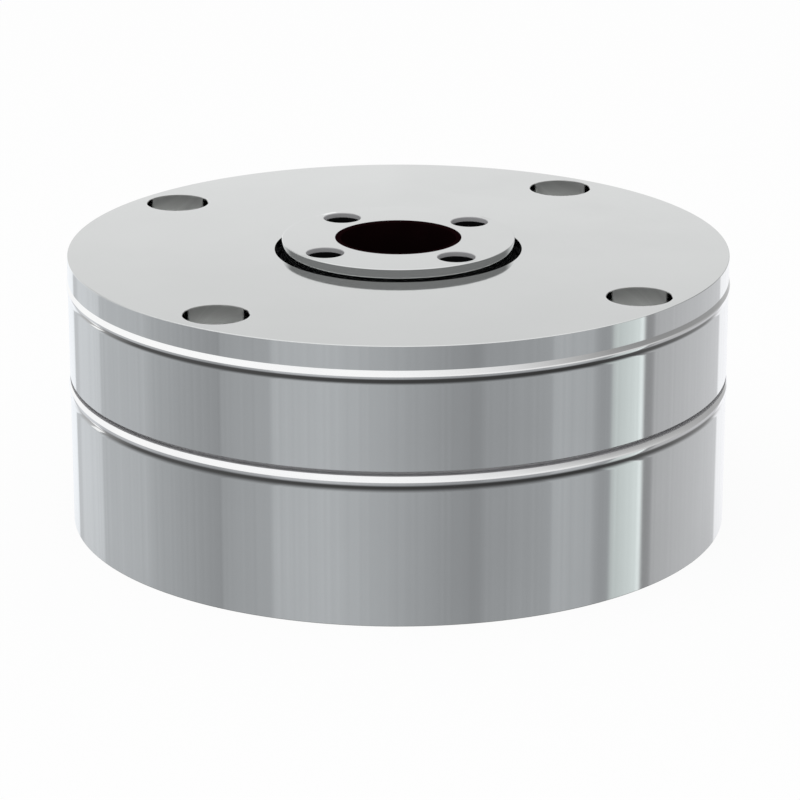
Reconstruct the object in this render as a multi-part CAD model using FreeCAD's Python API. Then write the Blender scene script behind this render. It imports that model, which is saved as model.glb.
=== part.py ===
import FreeCAD, Part
import math
import os

# Three-axis force sensor. Millimetres and degrees, +Z up along the load axis,
# origin at the centre of the base's resting face, +X and +Y along the cross beams.

# Outer body: three turned sections of one diameter, one above the other
BODY_RADIUS = 57.5
COVER_TOP = 48.0
COVER_JOINT = 42.6
BASE_JOINT = 25.0
RIM_CHAMFER = 0.3
FOOT_CHAMFER = 0.15

# Seam rings: one at each joint, in a rebate turned into both sections
REBATE_DEPTH = 1.2
RING_PROUD = 0.3
RING_CREST_ROUND = 0.5
UPPER_GROOVE = (41.3, 43.9)
UPPER_RING_CREST = 42.65
LOWER_GROOVE = (23.0, 26.7)
LOWER_RING_TOP = 25.97
LOWER_RING_CREST = 24.7

# Mounting holes for M10 bolts through all three sections
MOUNT_PCD = 100.0
MOUNT_HOLE = 11.0
MOUNT_ANGLE = 45.0

# Loading hub, its gap to the cover, its M6 threads and its lined bore
HUB_DIAMETER = 40.5
HUB_TOP = 49.9
HUB_FOOT_RADIUS = 18.0
HUB_FOOT = 22.0
COVER_OPENING = 43.0
HUB_PCD = 32.0
HUB_ANGLE = 30.0
HUB_THREAD = 6.0
HUB_THREAD_DEPTH = 14.0
HUB_RELIEF = 6.5
HUB_RELIEF_DEPTH = 0.9
LINER_OUTSIDE = 22.0
LINER_INSIDE = 20.0
LINER_FOOT = 0.5

# Cross of four beams, each ending in a tangential leaf spring
WEB_BOTTOM = 29.0
WEB_TOP = 39.0
WEB_ROOT_RADIUS = 24.0
BEAM_WIDTH = 11.0
WINDOW_RADIUS = 39.2
WINDOW_ROUND = 2.5
LEAF_THICKNESS = 2.0
SLOT_WIDTH = 2.0
SLOT_HALF_ANGLE = 24.0
RECESS_RADIUS = 43.5
NECK_FROM = 29.0
NECK_TO = 34.5
NECK_SIDE_CUT = 1.5
NECK_FACE_CUT = 1.0

# Spigots that centre the cover and the base in the flexure's two recesses
SPIGOT_RADIUS = 43.4
SPIGOT_WALL = 3.2
COVER_SPIGOT_FOOT = 39.6
BASE_SPIGOT_TOP = 28.2
PLATE_UNDERSIDE = 43.5
COLLAR_RADIUS = 24.5
COLLAR_FOOT = 41.5

# Rubber seals
SEAL_FLAT = 0.45
CORD_RADIUS = 0.7
CORD_GROOVE_WIDTH = 2.0
COVER_CORD_HEIGHT = 41.2
BASE_CORD_HEIGHT = 26.9
SEAL_FOOT = 42.5
SEAL_TOP = 46.3
SEAL_WALL = 0.35
SEAL_WEB = 0.6

# Base chamber and the recessed cover that closes it from below
CHAMBER_RADIUS = 34.5
CHAMBER_TAPER_FROM = 21.0
CHAMBER_TAPER_TO = 24.5
LEDGE = 4.0
BOTTOM_RECESS_RADIUS = 42.0
BOTTOM_COVER_RADIUS = 41.8
BOTTOM_COVER_FACE = 0.2
BOTTOM_CORD_HEIGHT = 2.1
LINER_PASSAGE_RADIUS = 11.3
LINER_CORD_RADIUS = 0.8
LINER_CORD_GROOVE = 1.9

# Fasteners: M4 stack screws, M3 countersunk bottom screws, dowel pins
STACK_ANGLE = 20.0
STACK_SCREW = 4.0
STACK_CLEARANCE = 4.5
STACK_HEAD = 7.0
STACK_HEAD_HEIGHT = 4.0
STACK_COUNTERBORE = 8.0
STACK_SEAT = 6.8
STACK_TIP = 46.8
STACK_SOCKET = 3.0
STACK_SOCKET_DEPTH = 2.0
BOTTOM_SCREW = 3.0
BOTTOM_SCREW_HEAD = 6.0
BOTTOM_SCREW_TIP = 10.2
BOTTOM_SCREW_CIRCLE = 37.6
BOTTOM_SCREW_COUNT = 6
BOTTOM_SOCKET = 2.0
BOTTOM_SOCKET_DEPTH = 1.1
DOWEL = 4.0
DOWEL_HALF_LENGTH = 6.0
COVER_DOWEL_TOP = 46.0
BASE_DOWEL_ANGLES = (70.0, 250.0)
COVER_DOWEL_ANGLES = (160.0, 340.0)

# Circuit board in the base chamber
BOARD_BOTTOM = 10.0
BOARD_THICKNESS = 1.6
BOARD_RADIUS = 33.0
BOARD_HOLE_RADIUS = 15.0
STANDOFF_CIRCLE = 28.0
STANDOFF_ANGLE = 45.0
STANDOFF_DIAMETER = 5.0
STANDOFF_PEG = 3.0
STANDOFF_PEG_FOOT = 2.5
BOARD_SCREW = 2.5
BOARD_SCREW_HOLE = 2.7
BOARD_SCREW_HEAD = 4.5
BOARD_SCREW_HEAD_HEIGHT = 1.6
BOARD_SCREW_TIP = 5.0
BOARD_SLOT_WIDTH = 0.8
BOARD_SLOT_DEPTH = 0.6
CHIP_SIZE = (6.0, 5.0, 1.6)
CHIP_CIRCLE = 22.0
CHIP_ANGLES = (0.0, 180.0, 270.0)

# Strain gauges, solder terminals and flat leads on the beams
GAUGE_LENGTH = 5.0
GAUGE_WIDTH = 3.0
GAUGE_THICKNESS = 0.12
GAUGE_CIRCLE = 31.75
TERMINAL_SIZE = (3.0, 4.0, 0.3)
TERMINAL_CIRCLE = 26.0
FLEX_WIDTH = 2.4
FLEX_THICKNESS = 0.2
FLEX_BEND = 1.2
FLEX_RISE = 41.2
FLEX_OFFSET = 8.0

# Connector at the back of the base
CONNECTOR_HEIGHT = 12.5
SPOTFACE_Y = 56.2
SPOTFACE_RADIUS = 10.4
SHELL_REAR_Y = 46.2
SHELL_REAR_RADIUS = 7.0
PASSAGE_RADIUS = 5.0
SHELL_HEX_ACROSS = 18.0
SHELL_HEX_LENGTH = 4.0
SHELL_FRONT_RADIUS = 6.0
SHELL_FRONT_LENGTH = 9.0
SHELL_NECK_RADIUS = 5.4
SHELL_NECK_LENGTH = 1.0
INSERT_RADIUS = 4.8
INSERT_REAR_Y = 48.2
INSERT_FRONT_Y = 62.2
SHELL_REAR_BORE_RADIUS = 4.0
INSERT_KEY = 1.0
CONNECTOR_CORD_RADIUS = 0.65
CONNECTOR_CORD_CIRCLE = 7.75
PIN_DIAMETER = 1.0
PIN_CIRCLE = 2.75
PIN_RING_COUNT = 7
PIN_REAR_Y = 47.2
PIN_FRONT_Y = 67.2
LEAD_DIAMETER = 3.0
LEAD_START_Y = 27.0
LEAD_BEND = 3.0
LEAD_HEIGHT = 15.0

REBATE_RADIUS = BODY_RADIUS - REBATE_DEPTH
MOUNT_CIRCLE = MOUNT_PCD / 2
ORIGIN = FreeCAD.Vector(0, 0, 0)
UP = FreeCAD.Vector(0, 0, 1)
BACK = FreeCAD.Vector(0, 1, 0)
QUARTER = 90.0
FULL_TURN = 360.0


def point(x, y, z):
    return FreeCAD.Vector(x, y, z)


def turned(corners):
    """Solid turned about the vertical axis from (radius, height) corners."""
    points = [point(radius, 0, height) for radius, height in corners]
    outline = Part.makePolygon(points + points[:1])
    return Part.Face(outline).revolve(ORIGIN, UP, FULL_TURN)


def tube(outer, inner, bottom, top):
    """Upright tube about the vertical axis."""
    return turned([(inner, bottom), (outer, bottom), (outer, top), (inner, top)])


def rod(diameter, bottom, top, radius=0.0):
    """Upright cylinder at the given distance along +X."""
    return Part.makeCylinder(diameter / 2, top - bottom, point(radius, 0, bottom))


def rod_back(radius, start, end):
    """Cylinder along +Y on the connector's axis."""
    return Part.makeCylinder(radius, end - start, point(0, start, CONNECTOR_HEIGHT), BACK)


def block(x_range, y_range, z_range):
    """Box between the given limits."""
    corner = point(x_range[0], y_range[0], z_range[0])
    sizes = [high - low for low, high in (x_range, y_range, z_range)]
    return Part.makeBox(*sizes, corner)


def hexagon(across, bottom, top, radius=0.0):
    """Upright hexagonal prism at the given distance along +X."""
    reach = across / math.sqrt(3)
    angles = [math.pi / 3 * side for side in range(6)]
    corners = [point(radius + reach * math.cos(a), reach * math.sin(a), bottom) for a in angles]
    outline = Part.makePolygon(corners + corners[:1])
    return Part.Face(outline).extrude(point(0, 0, top - bottom))


def around(shape, angles):
    """Copies of a shape turned about the vertical axis."""
    copies = []
    for angle in angles:
        copy = shape.copy()
        copy.rotate(ORIGIN, UP, angle)
        copies.append(copy)
    return copies


def quarters(first):
    """Four angles a quarter turn apart."""
    return [first + QUARTER * step for step in range(4)]


def seal_ring(inner, outer, height):
    """Squeezed rubber ring, flat where it meets its groove and blunt at its edges."""
    half = (outer - inner) / 2
    flat = half * SEAL_FLAT
    middle = (inner + outer) / 2
    quarter = [(half, flat), (flat, half)]
    corners = []
    for turn_x, turn_z in ((1, 1), (-1, 1), (-1, -1), (1, -1)):
        side = [(middle + turn_x * x, height + turn_z * z) for x, z in quarter]
        corners += side if turn_x == turn_z else side[::-1]
    return turned(corners)


def facing_back(shape):
    """Turns a piece made about the vertical axis onto the connector's axis."""
    copy = shape.copy()
    copy.rotate(ORIGIN, point(1, 0, 0), -QUARTER)
    copy.translate(point(0, SPOTFACE_Y, CONNECTOR_HEIGHT))
    return copy


def mount_holes(bottom, top):
    return around(rod(MOUNT_HOLE, bottom, top, MOUNT_CIRCLE), quarters(MOUNT_ANGLE))


def stack_holes(diameter, bottom, top):
    return around(rod(diameter, bottom, top, MOUNT_CIRCLE), quarters(STACK_ANGLE))


def dowels(joint, angles):
    """Dowel pins standing half in each of two sections."""
    pin = rod(DOWEL, joint - DOWEL_HALF_LENGTH, joint + DOWEL_HALF_LENGTH, MOUNT_CIRCLE)
    return around(pin, angles)


def cord_groove(wall, height):
    """Cutter for a seal groove whose cord meets a wall of the given radius."""
    half_width = CORD_GROOVE_WIDTH / 2
    return tube(wall, wall - 2 * CORD_RADIUS, height - half_width, height + half_width)


def cover_dowels():
    """Shorter dowels, which end inside the cover's plate."""
    pin = rod(DOWEL, COVER_JOINT - DOWEL_HALF_LENGTH, COVER_DOWEL_TOP, MOUNT_CIRCLE)
    return around(pin, COVER_DOWEL_ANGLES)


def top_cover():
    opening = COVER_OPENING / 2
    body = turned([
        (opening, COLLAR_FOOT), (COLLAR_RADIUS, COLLAR_FOOT), (COLLAR_RADIUS, PLATE_UNDERSIDE),
        (SPIGOT_RADIUS - SPIGOT_WALL, PLATE_UNDERSIDE), (SPIGOT_RADIUS - SPIGOT_WALL, COVER_SPIGOT_FOOT),
        (SPIGOT_RADIUS, COVER_SPIGOT_FOOT), (SPIGOT_RADIUS, COVER_JOINT), (REBATE_RADIUS, COVER_JOINT),
        (REBATE_RADIUS, UPPER_GROOVE[1]), (BODY_RADIUS, UPPER_GROOVE[1]),
        (BODY_RADIUS, COVER_TOP - RIM_CHAMFER), (BODY_RADIUS - RIM_CHAMFER, COVER_TOP),
        (opening, COVER_TOP),
    ])
    groove = cord_groove(RECESS_RADIUS, COVER_CORD_HEIGHT)
    threads = stack_holes(STACK_SCREW, COVER_JOINT, STACK_TIP)
    return body.cut([groove] + mount_holes(COVER_JOINT, COVER_TOP) + threads + cover_dowels())


def ring_section(foot, crest, top):
    """Seam ring with two sloping flanks that meet in a rounded crest."""
    ring = turned([
        (REBATE_RADIUS, foot), (BODY_RADIUS, foot), (BODY_RADIUS + RING_PROUD, crest),
        (BODY_RADIUS, top), (REBATE_RADIUS, top),
    ])
    crest_edges = [edge for edge in ring.Edges if edge.BoundBox.XMax > BODY_RADIUS + RING_PROUD / 2
                   and edge.BoundBox.ZLength < RING_PROUD / 2]
    return ring.makeFillet(RING_CREST_ROUND, crest_edges)


def windows():
    """Cutters for the four openings between the beams, with rounded corners."""
    ring = tube(WINDOW_RADIUS, WEB_ROOT_RADIUS, WEB_BOTTOM, WEB_TOP)
    reach = (-BODY_RADIUS, BODY_RADIUS)
    half = (-BEAM_WIDTH / 2, BEAM_WIDTH / 2)
    height = (WEB_BOTTOM, WEB_TOP)
    pieces = ring.cut([block(reach, half, height), block(half, reach, height)]).Solids
    rounded = []
    for piece in pieces:
        corners = [edge for edge in piece.Edges if edge.BoundBox.ZLength > (WEB_TOP - WEB_BOTTOM) / 2]
        rounded.append(piece.makeFillet(WINDOW_ROUND, corners))
    return rounded


def leaf_slots():
    """Cutters behind the beam ends that leave thin leaf springs."""
    inner = WINDOW_RADIUS + LEAF_THICKNESS
    middle = inner + SLOT_WIDTH / 2
    slot = Part.Face(Part.makePolygon([
        point(inner, 0, WEB_BOTTOM), point(inner + SLOT_WIDTH, 0, WEB_BOTTOM),
        point(inner + SLOT_WIDTH, 0, WEB_TOP), point(inner, 0, WEB_TOP), point(inner, 0, WEB_BOTTOM),
    ])).revolve(ORIGIN, UP, 2 * SLOT_HALF_ANGLE)
    slot.rotate(ORIGIN, UP, -SLOT_HALF_ANGLE)
    ends = around(rod(SLOT_WIDTH, WEB_BOTTOM, WEB_TOP, middle), (-SLOT_HALF_ANGLE, SLOT_HALF_ANGLE))
    return around(slot.fuse(ends), quarters(0))


def beam_necks():
    """Cutters that thin each beam on its two sides and on its top and bottom."""
    side = BEAM_WIDTH / 2
    across = (-side, side)
    along = (NECK_FROM, NECK_TO)
    height = WEB_TOP - WEB_BOTTOM
    cutters = []
    for edge in (-side, side):
        cutters.append(block(along, (edge - NECK_SIDE_CUT, edge + NECK_SIDE_CUT), (WEB_BOTTOM, WEB_TOP)))
        for end in along:
            cutters.append(Part.makeCylinder(NECK_SIDE_CUT, height, point(end, edge, WEB_BOTTOM)))
    for face in (WEB_BOTTOM, WEB_TOP):
        cutters.append(block(along, across, (face - NECK_FACE_CUT, face + NECK_FACE_CUT)))
        for end in along:
            cutters.append(Part.makeCylinder(NECK_FACE_CUT, BEAM_WIDTH, point(end, -side, face), BACK))
    neck = cutters[0].fuse(cutters[1:])
    return around(neck, quarters(0))


def hub_holes():
    """M6 thread holes in the hub, each with a short relief at its mouth."""
    circle = HUB_PCD / 2
    thread = rod(HUB_THREAD, HUB_TOP - HUB_THREAD_DEPTH, HUB_TOP, circle)
    relief = rod(HUB_RELIEF, HUB_TOP - HUB_RELIEF_DEPTH, HUB_TOP, circle)
    return around(thread.fuse(relief), quarters(HUB_ANGLE))


def flexure_body():
    hub = HUB_DIAMETER / 2
    bore = LINER_OUTSIDE / 2
    body = turned([
        (bore, HUB_FOOT), (HUB_FOOT_RADIUS, HUB_FOOT), (HUB_FOOT_RADIUS, WEB_BOTTOM),
        (RECESS_RADIUS, WEB_BOTTOM), (RECESS_RADIUS, BASE_JOINT), (REBATE_RADIUS, BASE_JOINT),
        (REBATE_RADIUS, LOWER_GROOVE[1]), (BODY_RADIUS, LOWER_GROOVE[1]), (BODY_RADIUS, UPPER_GROOVE[0]),
        (REBATE_RADIUS, UPPER_GROOVE[0]), (REBATE_RADIUS, COVER_JOINT), (RECESS_RADIUS, COVER_JOINT),
        (RECESS_RADIUS, WEB_TOP), (hub, WEB_TOP), (hub, HUB_TOP - RIM_CHAMFER),
        (hub - RIM_CHAMFER, HUB_TOP), (bore, HUB_TOP),
    ])
    cross = body.cut(windows() + leaf_slots() + beam_necks())
    ring_holes = mount_holes(BASE_JOINT, COVER_JOINT) + stack_holes(STACK_CLEARANCE, BASE_JOINT, COVER_JOINT)
    pins = dowels(BASE_JOINT, BASE_DOWEL_ANGLES) + cover_dowels()
    return cross.cut(hub_holes() + ring_holes + pins)


def connector_port():
    """Cutters for the connector's flat, thread and wire passage in the base."""
    flat = rod_back(SPOTFACE_RADIUS, SPOTFACE_Y, BODY_RADIUS)
    thread = rod_back(SHELL_REAR_RADIUS, SHELL_REAR_Y, BODY_RADIUS)
    passage = rod_back(PASSAGE_RADIUS, CHAMBER_RADIUS - PASSAGE_RADIUS, SHELL_REAR_Y)
    return [flat, thread, passage]


def base_housing():
    inner_spigot = SPIGOT_RADIUS - SPIGOT_WALL
    body = turned([
        (BOTTOM_RECESS_RADIUS, 0), (BODY_RADIUS - FOOT_CHAMFER, 0), (BODY_RADIUS, FOOT_CHAMFER),
        (BODY_RADIUS, LOWER_GROOVE[0]), (REBATE_RADIUS, LOWER_GROOVE[0]), (REBATE_RADIUS, BASE_JOINT),
        (SPIGOT_RADIUS, BASE_JOINT), (SPIGOT_RADIUS, BASE_SPIGOT_TOP), (inner_spigot, BASE_SPIGOT_TOP),
        (inner_spigot, CHAMBER_TAPER_TO), (CHAMBER_RADIUS, CHAMBER_TAPER_FROM), (CHAMBER_RADIUS, LEDGE),
        (BOTTOM_RECESS_RADIUS, LEDGE),
    ])
    groove = cord_groove(RECESS_RADIUS, BASE_CORD_HEIGHT)
    screw_holes = stack_holes(STACK_CLEARANCE, 0, BASE_JOINT) + stack_holes(STACK_COUNTERBORE, 0, STACK_SEAT)
    threads = around(rod(BOTTOM_SCREW, LEDGE, BOTTOM_SCREW_TIP, BOTTOM_SCREW_CIRCLE), bottom_angles())
    cutters = [groove] + mount_holes(0, BASE_JOINT) + screw_holes + threads
    return body.cut(cutters + dowels(BASE_JOINT, BASE_DOWEL_ANGLES) + connector_port())


def bottom_angles():
    step = FULL_TURN / BOTTOM_SCREW_COUNT
    return [step * index for index in range(BOTTOM_SCREW_COUNT)]


def countersunk_blank():
    """Outline of one countersunk screw, also used to cut its seat."""
    head = BOTTOM_SCREW_HEAD / 2
    shank = BOTTOM_SCREW / 2
    cone_top = BOTTOM_COVER_FACE + head - shank
    centre = point(BOTTOM_SCREW_CIRCLE, 0, BOTTOM_COVER_FACE)
    cone = Part.makeCone(head, shank, head - shank, centre)
    return cone.fuse(rod(BOTTOM_SCREW, cone_top, BOTTOM_SCREW_TIP, BOTTOM_SCREW_CIRCLE))


def bottom_cover():
    plate = tube(BOTTOM_COVER_RADIUS, LINER_PASSAGE_RADIUS, BOTTOM_COVER_FACE, LEDGE)
    rim_groove = cord_groove(BOTTOM_RECESS_RADIUS, BOTTOM_CORD_HEIGHT)
    liner = LINER_OUTSIDE / 2
    half_width = LINER_CORD_GROOVE / 2
    liner_groove = tube(liner + 2 * LINER_CORD_RADIUS, liner,
                        BOTTOM_CORD_HEIGHT - half_width, BOTTOM_CORD_HEIGHT + half_width)
    seats = around(countersunk_blank(), bottom_angles())
    pegs = around(rod(STANDOFF_PEG, STANDOFF_PEG_FOOT, LEDGE, STANDOFF_CIRCLE), quarters(STANDOFF_ANGLE))
    return plate.cut([rim_groove, liner_groove] + seats + pegs)


def bottom_screws():
    socket = hexagon(BOTTOM_SOCKET, BOTTOM_COVER_FACE, BOTTOM_COVER_FACE + BOTTOM_SOCKET_DEPTH,
                     BOTTOM_SCREW_CIRCLE)
    return Part.makeCompound(around(countersunk_blank().cut(socket), bottom_angles()))


def stack_screws():
    """Long socket screws that hold cover, flexure and base together."""
    head_face = STACK_SEAT - STACK_HEAD_HEIGHT
    head = rod(STACK_HEAD, head_face, STACK_SEAT, MOUNT_CIRCLE)
    shank = rod(STACK_SCREW, STACK_SEAT, STACK_TIP, MOUNT_CIRCLE)
    socket = hexagon(STACK_SOCKET, head_face, head_face + STACK_SOCKET_DEPTH, MOUNT_CIRCLE)
    return Part.makeCompound(around(head.fuse(shank).cut(socket), quarters(STACK_ANGLE)))


def gap_seal():
    """U-section rubber ring that closes the gap round the hub and lets it move."""
    inner = HUB_DIAMETER / 2
    outer = COVER_OPENING / 2
    floor = SEAL_FOOT + SEAL_WEB
    return turned([
        (inner, SEAL_FOOT), (outer, SEAL_FOOT), (outer, SEAL_TOP), (outer - SEAL_WALL, SEAL_TOP),
        (outer - SEAL_WALL, floor), (inner + SEAL_WALL, floor), (inner + SEAL_WALL, SEAL_TOP),
        (inner, SEAL_TOP),
    ])


def face_gauges():
    """Gauges on the upper faces of the four beams, for the vertical force."""
    foot = WEB_TOP - NECK_FACE_CUT
    along = (GAUGE_CIRCLE - GAUGE_LENGTH / 2, GAUGE_CIRCLE + GAUGE_LENGTH / 2)
    gauge = block(along, (-GAUGE_WIDTH / 2, GAUGE_WIDTH / 2), (foot, foot + GAUGE_THICKNESS))
    return Part.makeCompound(around(gauge, quarters(0)))


def side_gauges(first_beam):
    """Gauges on both sides of two opposite beams, for one horizontal force."""
    wall = BEAM_WIDTH / 2 - NECK_SIDE_CUT
    middle = (WEB_BOTTOM + WEB_TOP) / 2
    along = (GAUGE_CIRCLE - GAUGE_LENGTH / 2, GAUGE_CIRCLE + GAUGE_LENGTH / 2)
    high = (middle - GAUGE_WIDTH / 2, middle + GAUGE_WIDTH / 2)
    gauge = block(along, (wall, wall + GAUGE_THICKNESS), high)
    pair = Part.makeCompound([gauge, gauge.mirror(ORIGIN, BACK)])
    return Part.makeCompound(around(pair, (first_beam, first_beam + FULL_TURN / 2)))


def terminal_pads():
    length, width, thickness = TERMINAL_SIZE
    along = (TERMINAL_CIRCLE - length / 2, TERMINAL_CIRCLE + length / 2)
    pad = block(along, (-width / 2, width / 2), (WEB_TOP, WEB_TOP + thickness))
    return Part.makeCompound(around(pad, quarters(0)))


def flex_lead():
    """Flat lead from a terminal over the beam's edge and down to the board."""
    x = TERMINAL_CIRCLE
    foot = WEB_TOP + TERMINAL_SIZE[2]
    slack = FLEX_BEND * (1 - math.sqrt(0.5))
    landing = BOARD_BOTTOM + BOARD_THICKNESS
    rise_end = point(x, 0, FLEX_RISE - FLEX_BEND)
    over_start = point(x, FLEX_BEND, FLEX_RISE)
    over_end = point(x, FLEX_OFFSET - FLEX_BEND, FLEX_RISE)
    fall_start = point(x, FLEX_OFFSET, FLEX_RISE - FLEX_BEND)
    path = Part.Wire([
        Part.LineSegment(point(x, 0, foot), rise_end).toShape(),
        Part.Arc(rise_end, point(x, slack, FLEX_RISE - slack), over_start).toShape(),
        Part.LineSegment(over_start, over_end).toShape(),
        Part.Arc(over_end, point(x, FLEX_OFFSET - slack, FLEX_RISE - slack), fall_start).toShape(),
        Part.LineSegment(fall_start, point(x, FLEX_OFFSET, landing)).toShape(),
    ])
    half_width = FLEX_WIDTH / 2
    half_thick = FLEX_THICKNESS / 2
    corners = [
        point(x - half_width, -half_thick, foot), point(x + half_width, -half_thick, foot),
        point(x + half_width, half_thick, foot), point(x - half_width, half_thick, foot),
    ]
    return path.makePipeShell([Part.makePolygon(corners + corners[:1])], True, False)


def circuit_board():
    top = BOARD_BOTTOM + BOARD_THICKNESS
    plate = tube(BOARD_RADIUS, BOARD_HOLE_RADIUS, BOARD_BOTTOM, top)
    hole = rod(BOARD_SCREW_HOLE, BOARD_BOTTOM, top, STANDOFF_CIRCLE)
    return plate.cut(around(hole, quarters(STANDOFF_ANGLE)))


def amplifier_chips():
    length, width, height = CHIP_SIZE
    top = BOARD_BOTTOM + BOARD_THICKNESS
    along = (CHIP_CIRCLE - length / 2, CHIP_CIRCLE + length / 2)
    chip = block(along, (-width / 2, width / 2), (top, top + height))
    return Part.makeCompound(around(chip, CHIP_ANGLES))


def board_standoffs():
    post = rod(STANDOFF_DIAMETER, LEDGE, BOARD_BOTTOM, STANDOFF_CIRCLE)
    peg = rod(STANDOFF_PEG, STANDOFF_PEG_FOOT, LEDGE, STANDOFF_CIRCLE)
    thread = rod(BOARD_SCREW, BOARD_SCREW_TIP, BOARD_BOTTOM, STANDOFF_CIRCLE)
    return Part.makeCompound(around(post.fuse(peg).cut(thread), quarters(STANDOFF_ANGLE)))


def board_screws():
    top = BOARD_BOTTOM + BOARD_THICKNESS
    head_top = top + BOARD_SCREW_HEAD_HEIGHT
    head = rod(BOARD_SCREW_HEAD, top, head_top, STANDOFF_CIRCLE)
    shank = rod(BOARD_SCREW, BOARD_SCREW_TIP, top, STANDOFF_CIRCLE)
    reach = BOARD_SCREW_HEAD / 2
    along = (STANDOFF_CIRCLE - reach, STANDOFF_CIRCLE + reach)
    across = (-BOARD_SLOT_WIDTH / 2, BOARD_SLOT_WIDTH / 2)
    slot = block(along, across, (head_top - BOARD_SLOT_DEPTH, head_top))
    return Part.makeCompound(around(head.fuse(shank).cut(slot), quarters(STANDOFF_ANGLE)))


def shell_hexagon():
    """Wrench flange of the connector shell, with its corners turned off."""
    prism = hexagon(SHELL_HEX_ACROSS, 0, SHELL_HEX_LENGTH)
    half = SHELL_HEX_ACROSS / 2
    turned_corners = Part.makeCone(half + SHELL_HEX_LENGTH, half, SHELL_HEX_LENGTH)
    return facing_back(prism.common(turned_corners))


def connector_shell():
    hex_end = SPOTFACE_Y + SHELL_HEX_LENGTH
    front_end = hex_end + SHELL_FRONT_LENGTH
    rear = rod_back(SHELL_REAR_RADIUS, SHELL_REAR_Y, SPOTFACE_Y)
    neck = rod_back(SHELL_NECK_RADIUS, hex_end, hex_end + SHELL_NECK_LENGTH)
    front = rod_back(SHELL_FRONT_RADIUS, hex_end + SHELL_NECK_LENGTH, front_end)
    body = shell_hexagon().fuse([rear, neck, front])
    bore = rod_back(INSERT_RADIUS, INSERT_REAR_Y, front_end)
    rear_bore = rod_back(SHELL_REAR_BORE_RADIUS, SHELL_REAR_Y, INSERT_REAR_Y)
    depth = 2 * CONNECTOR_CORD_RADIUS
    groove_outer = rod_back(CONNECTOR_CORD_CIRCLE + CONNECTOR_CORD_RADIUS, SPOTFACE_Y, SPOTFACE_Y + depth)
    groove = groove_outer.cut(rod_back(SHELL_REAR_RADIUS, SPOTFACE_Y, SPOTFACE_Y + depth))
    return body.cut([bore, rear_bore, groove])


def pin_places():
    """Contact positions across the insert: a ring and one in the middle."""
    places = [(0.0, 0.0)]
    for index in range(PIN_RING_COUNT):
        angle = 2 * math.pi * index / PIN_RING_COUNT + math.pi / 2
        places.append((PIN_CIRCLE * math.cos(angle), PIN_CIRCLE * math.sin(angle)))
    return places


def connector_pins():
    length = PIN_FRONT_Y - PIN_REAR_Y
    pins = []
    for x, height in pin_places():
        start = point(x, PIN_REAR_Y, CONNECTOR_HEIGHT + height)
        pins.append(Part.makeCylinder(PIN_DIAMETER / 2, length, start, BACK))
    return Part.makeCompound(pins)


def connector_insert():
    body = rod_back(INSERT_RADIUS, INSERT_REAR_Y, INSERT_FRONT_Y)
    hex_end = SPOTFACE_Y + SHELL_HEX_LENGTH
    low = CONNECTOR_HEIGHT - INSERT_RADIUS
    key = block((-INSERT_KEY / 2, INSERT_KEY / 2), (hex_end, INSERT_FRONT_Y), (low, low + INSERT_KEY))
    return body.cut([key] + connector_pins().Solids)


def connector_o_ring():
    inner = CONNECTOR_CORD_CIRCLE - CONNECTOR_CORD_RADIUS
    outer = CONNECTOR_CORD_CIRCLE + CONNECTOR_CORD_RADIUS
    return facing_back(seal_ring(inner, outer, CONNECTOR_CORD_RADIUS))


def connector_lead():
    """Bundle from the board through the base wall to the connector's contacts."""
    bend = LEAD_BEND
    slack = bend * (1 - math.sqrt(0.5))
    landing = point(0, LEAD_START_Y, BOARD_BOTTOM + BOARD_THICKNESS)
    rise_end = point(0, LEAD_START_Y, LEAD_HEIGHT - bend)
    run_start = point(0, LEAD_START_Y + bend, LEAD_HEIGHT)
    path = [
        Part.LineSegment(landing, rise_end).toShape(),
        Part.Arc(rise_end, point(0, LEAD_START_Y + slack, LEAD_HEIGHT - slack), run_start).toShape(),
        Part.LineSegment(run_start, point(0, PIN_REAR_Y, LEAD_HEIGHT)).toShape(),
    ]
    section = Part.Wire(Part.makeCircle(LEAD_DIAMETER / 2, landing, UP))
    return Part.Wire(path).makePipeShell([section], True, False)


def bore_liner():
    return tube(LINER_OUTSIDE / 2, LINER_INSIDE / 2, LINER_FOOT, HUB_TOP)


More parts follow.
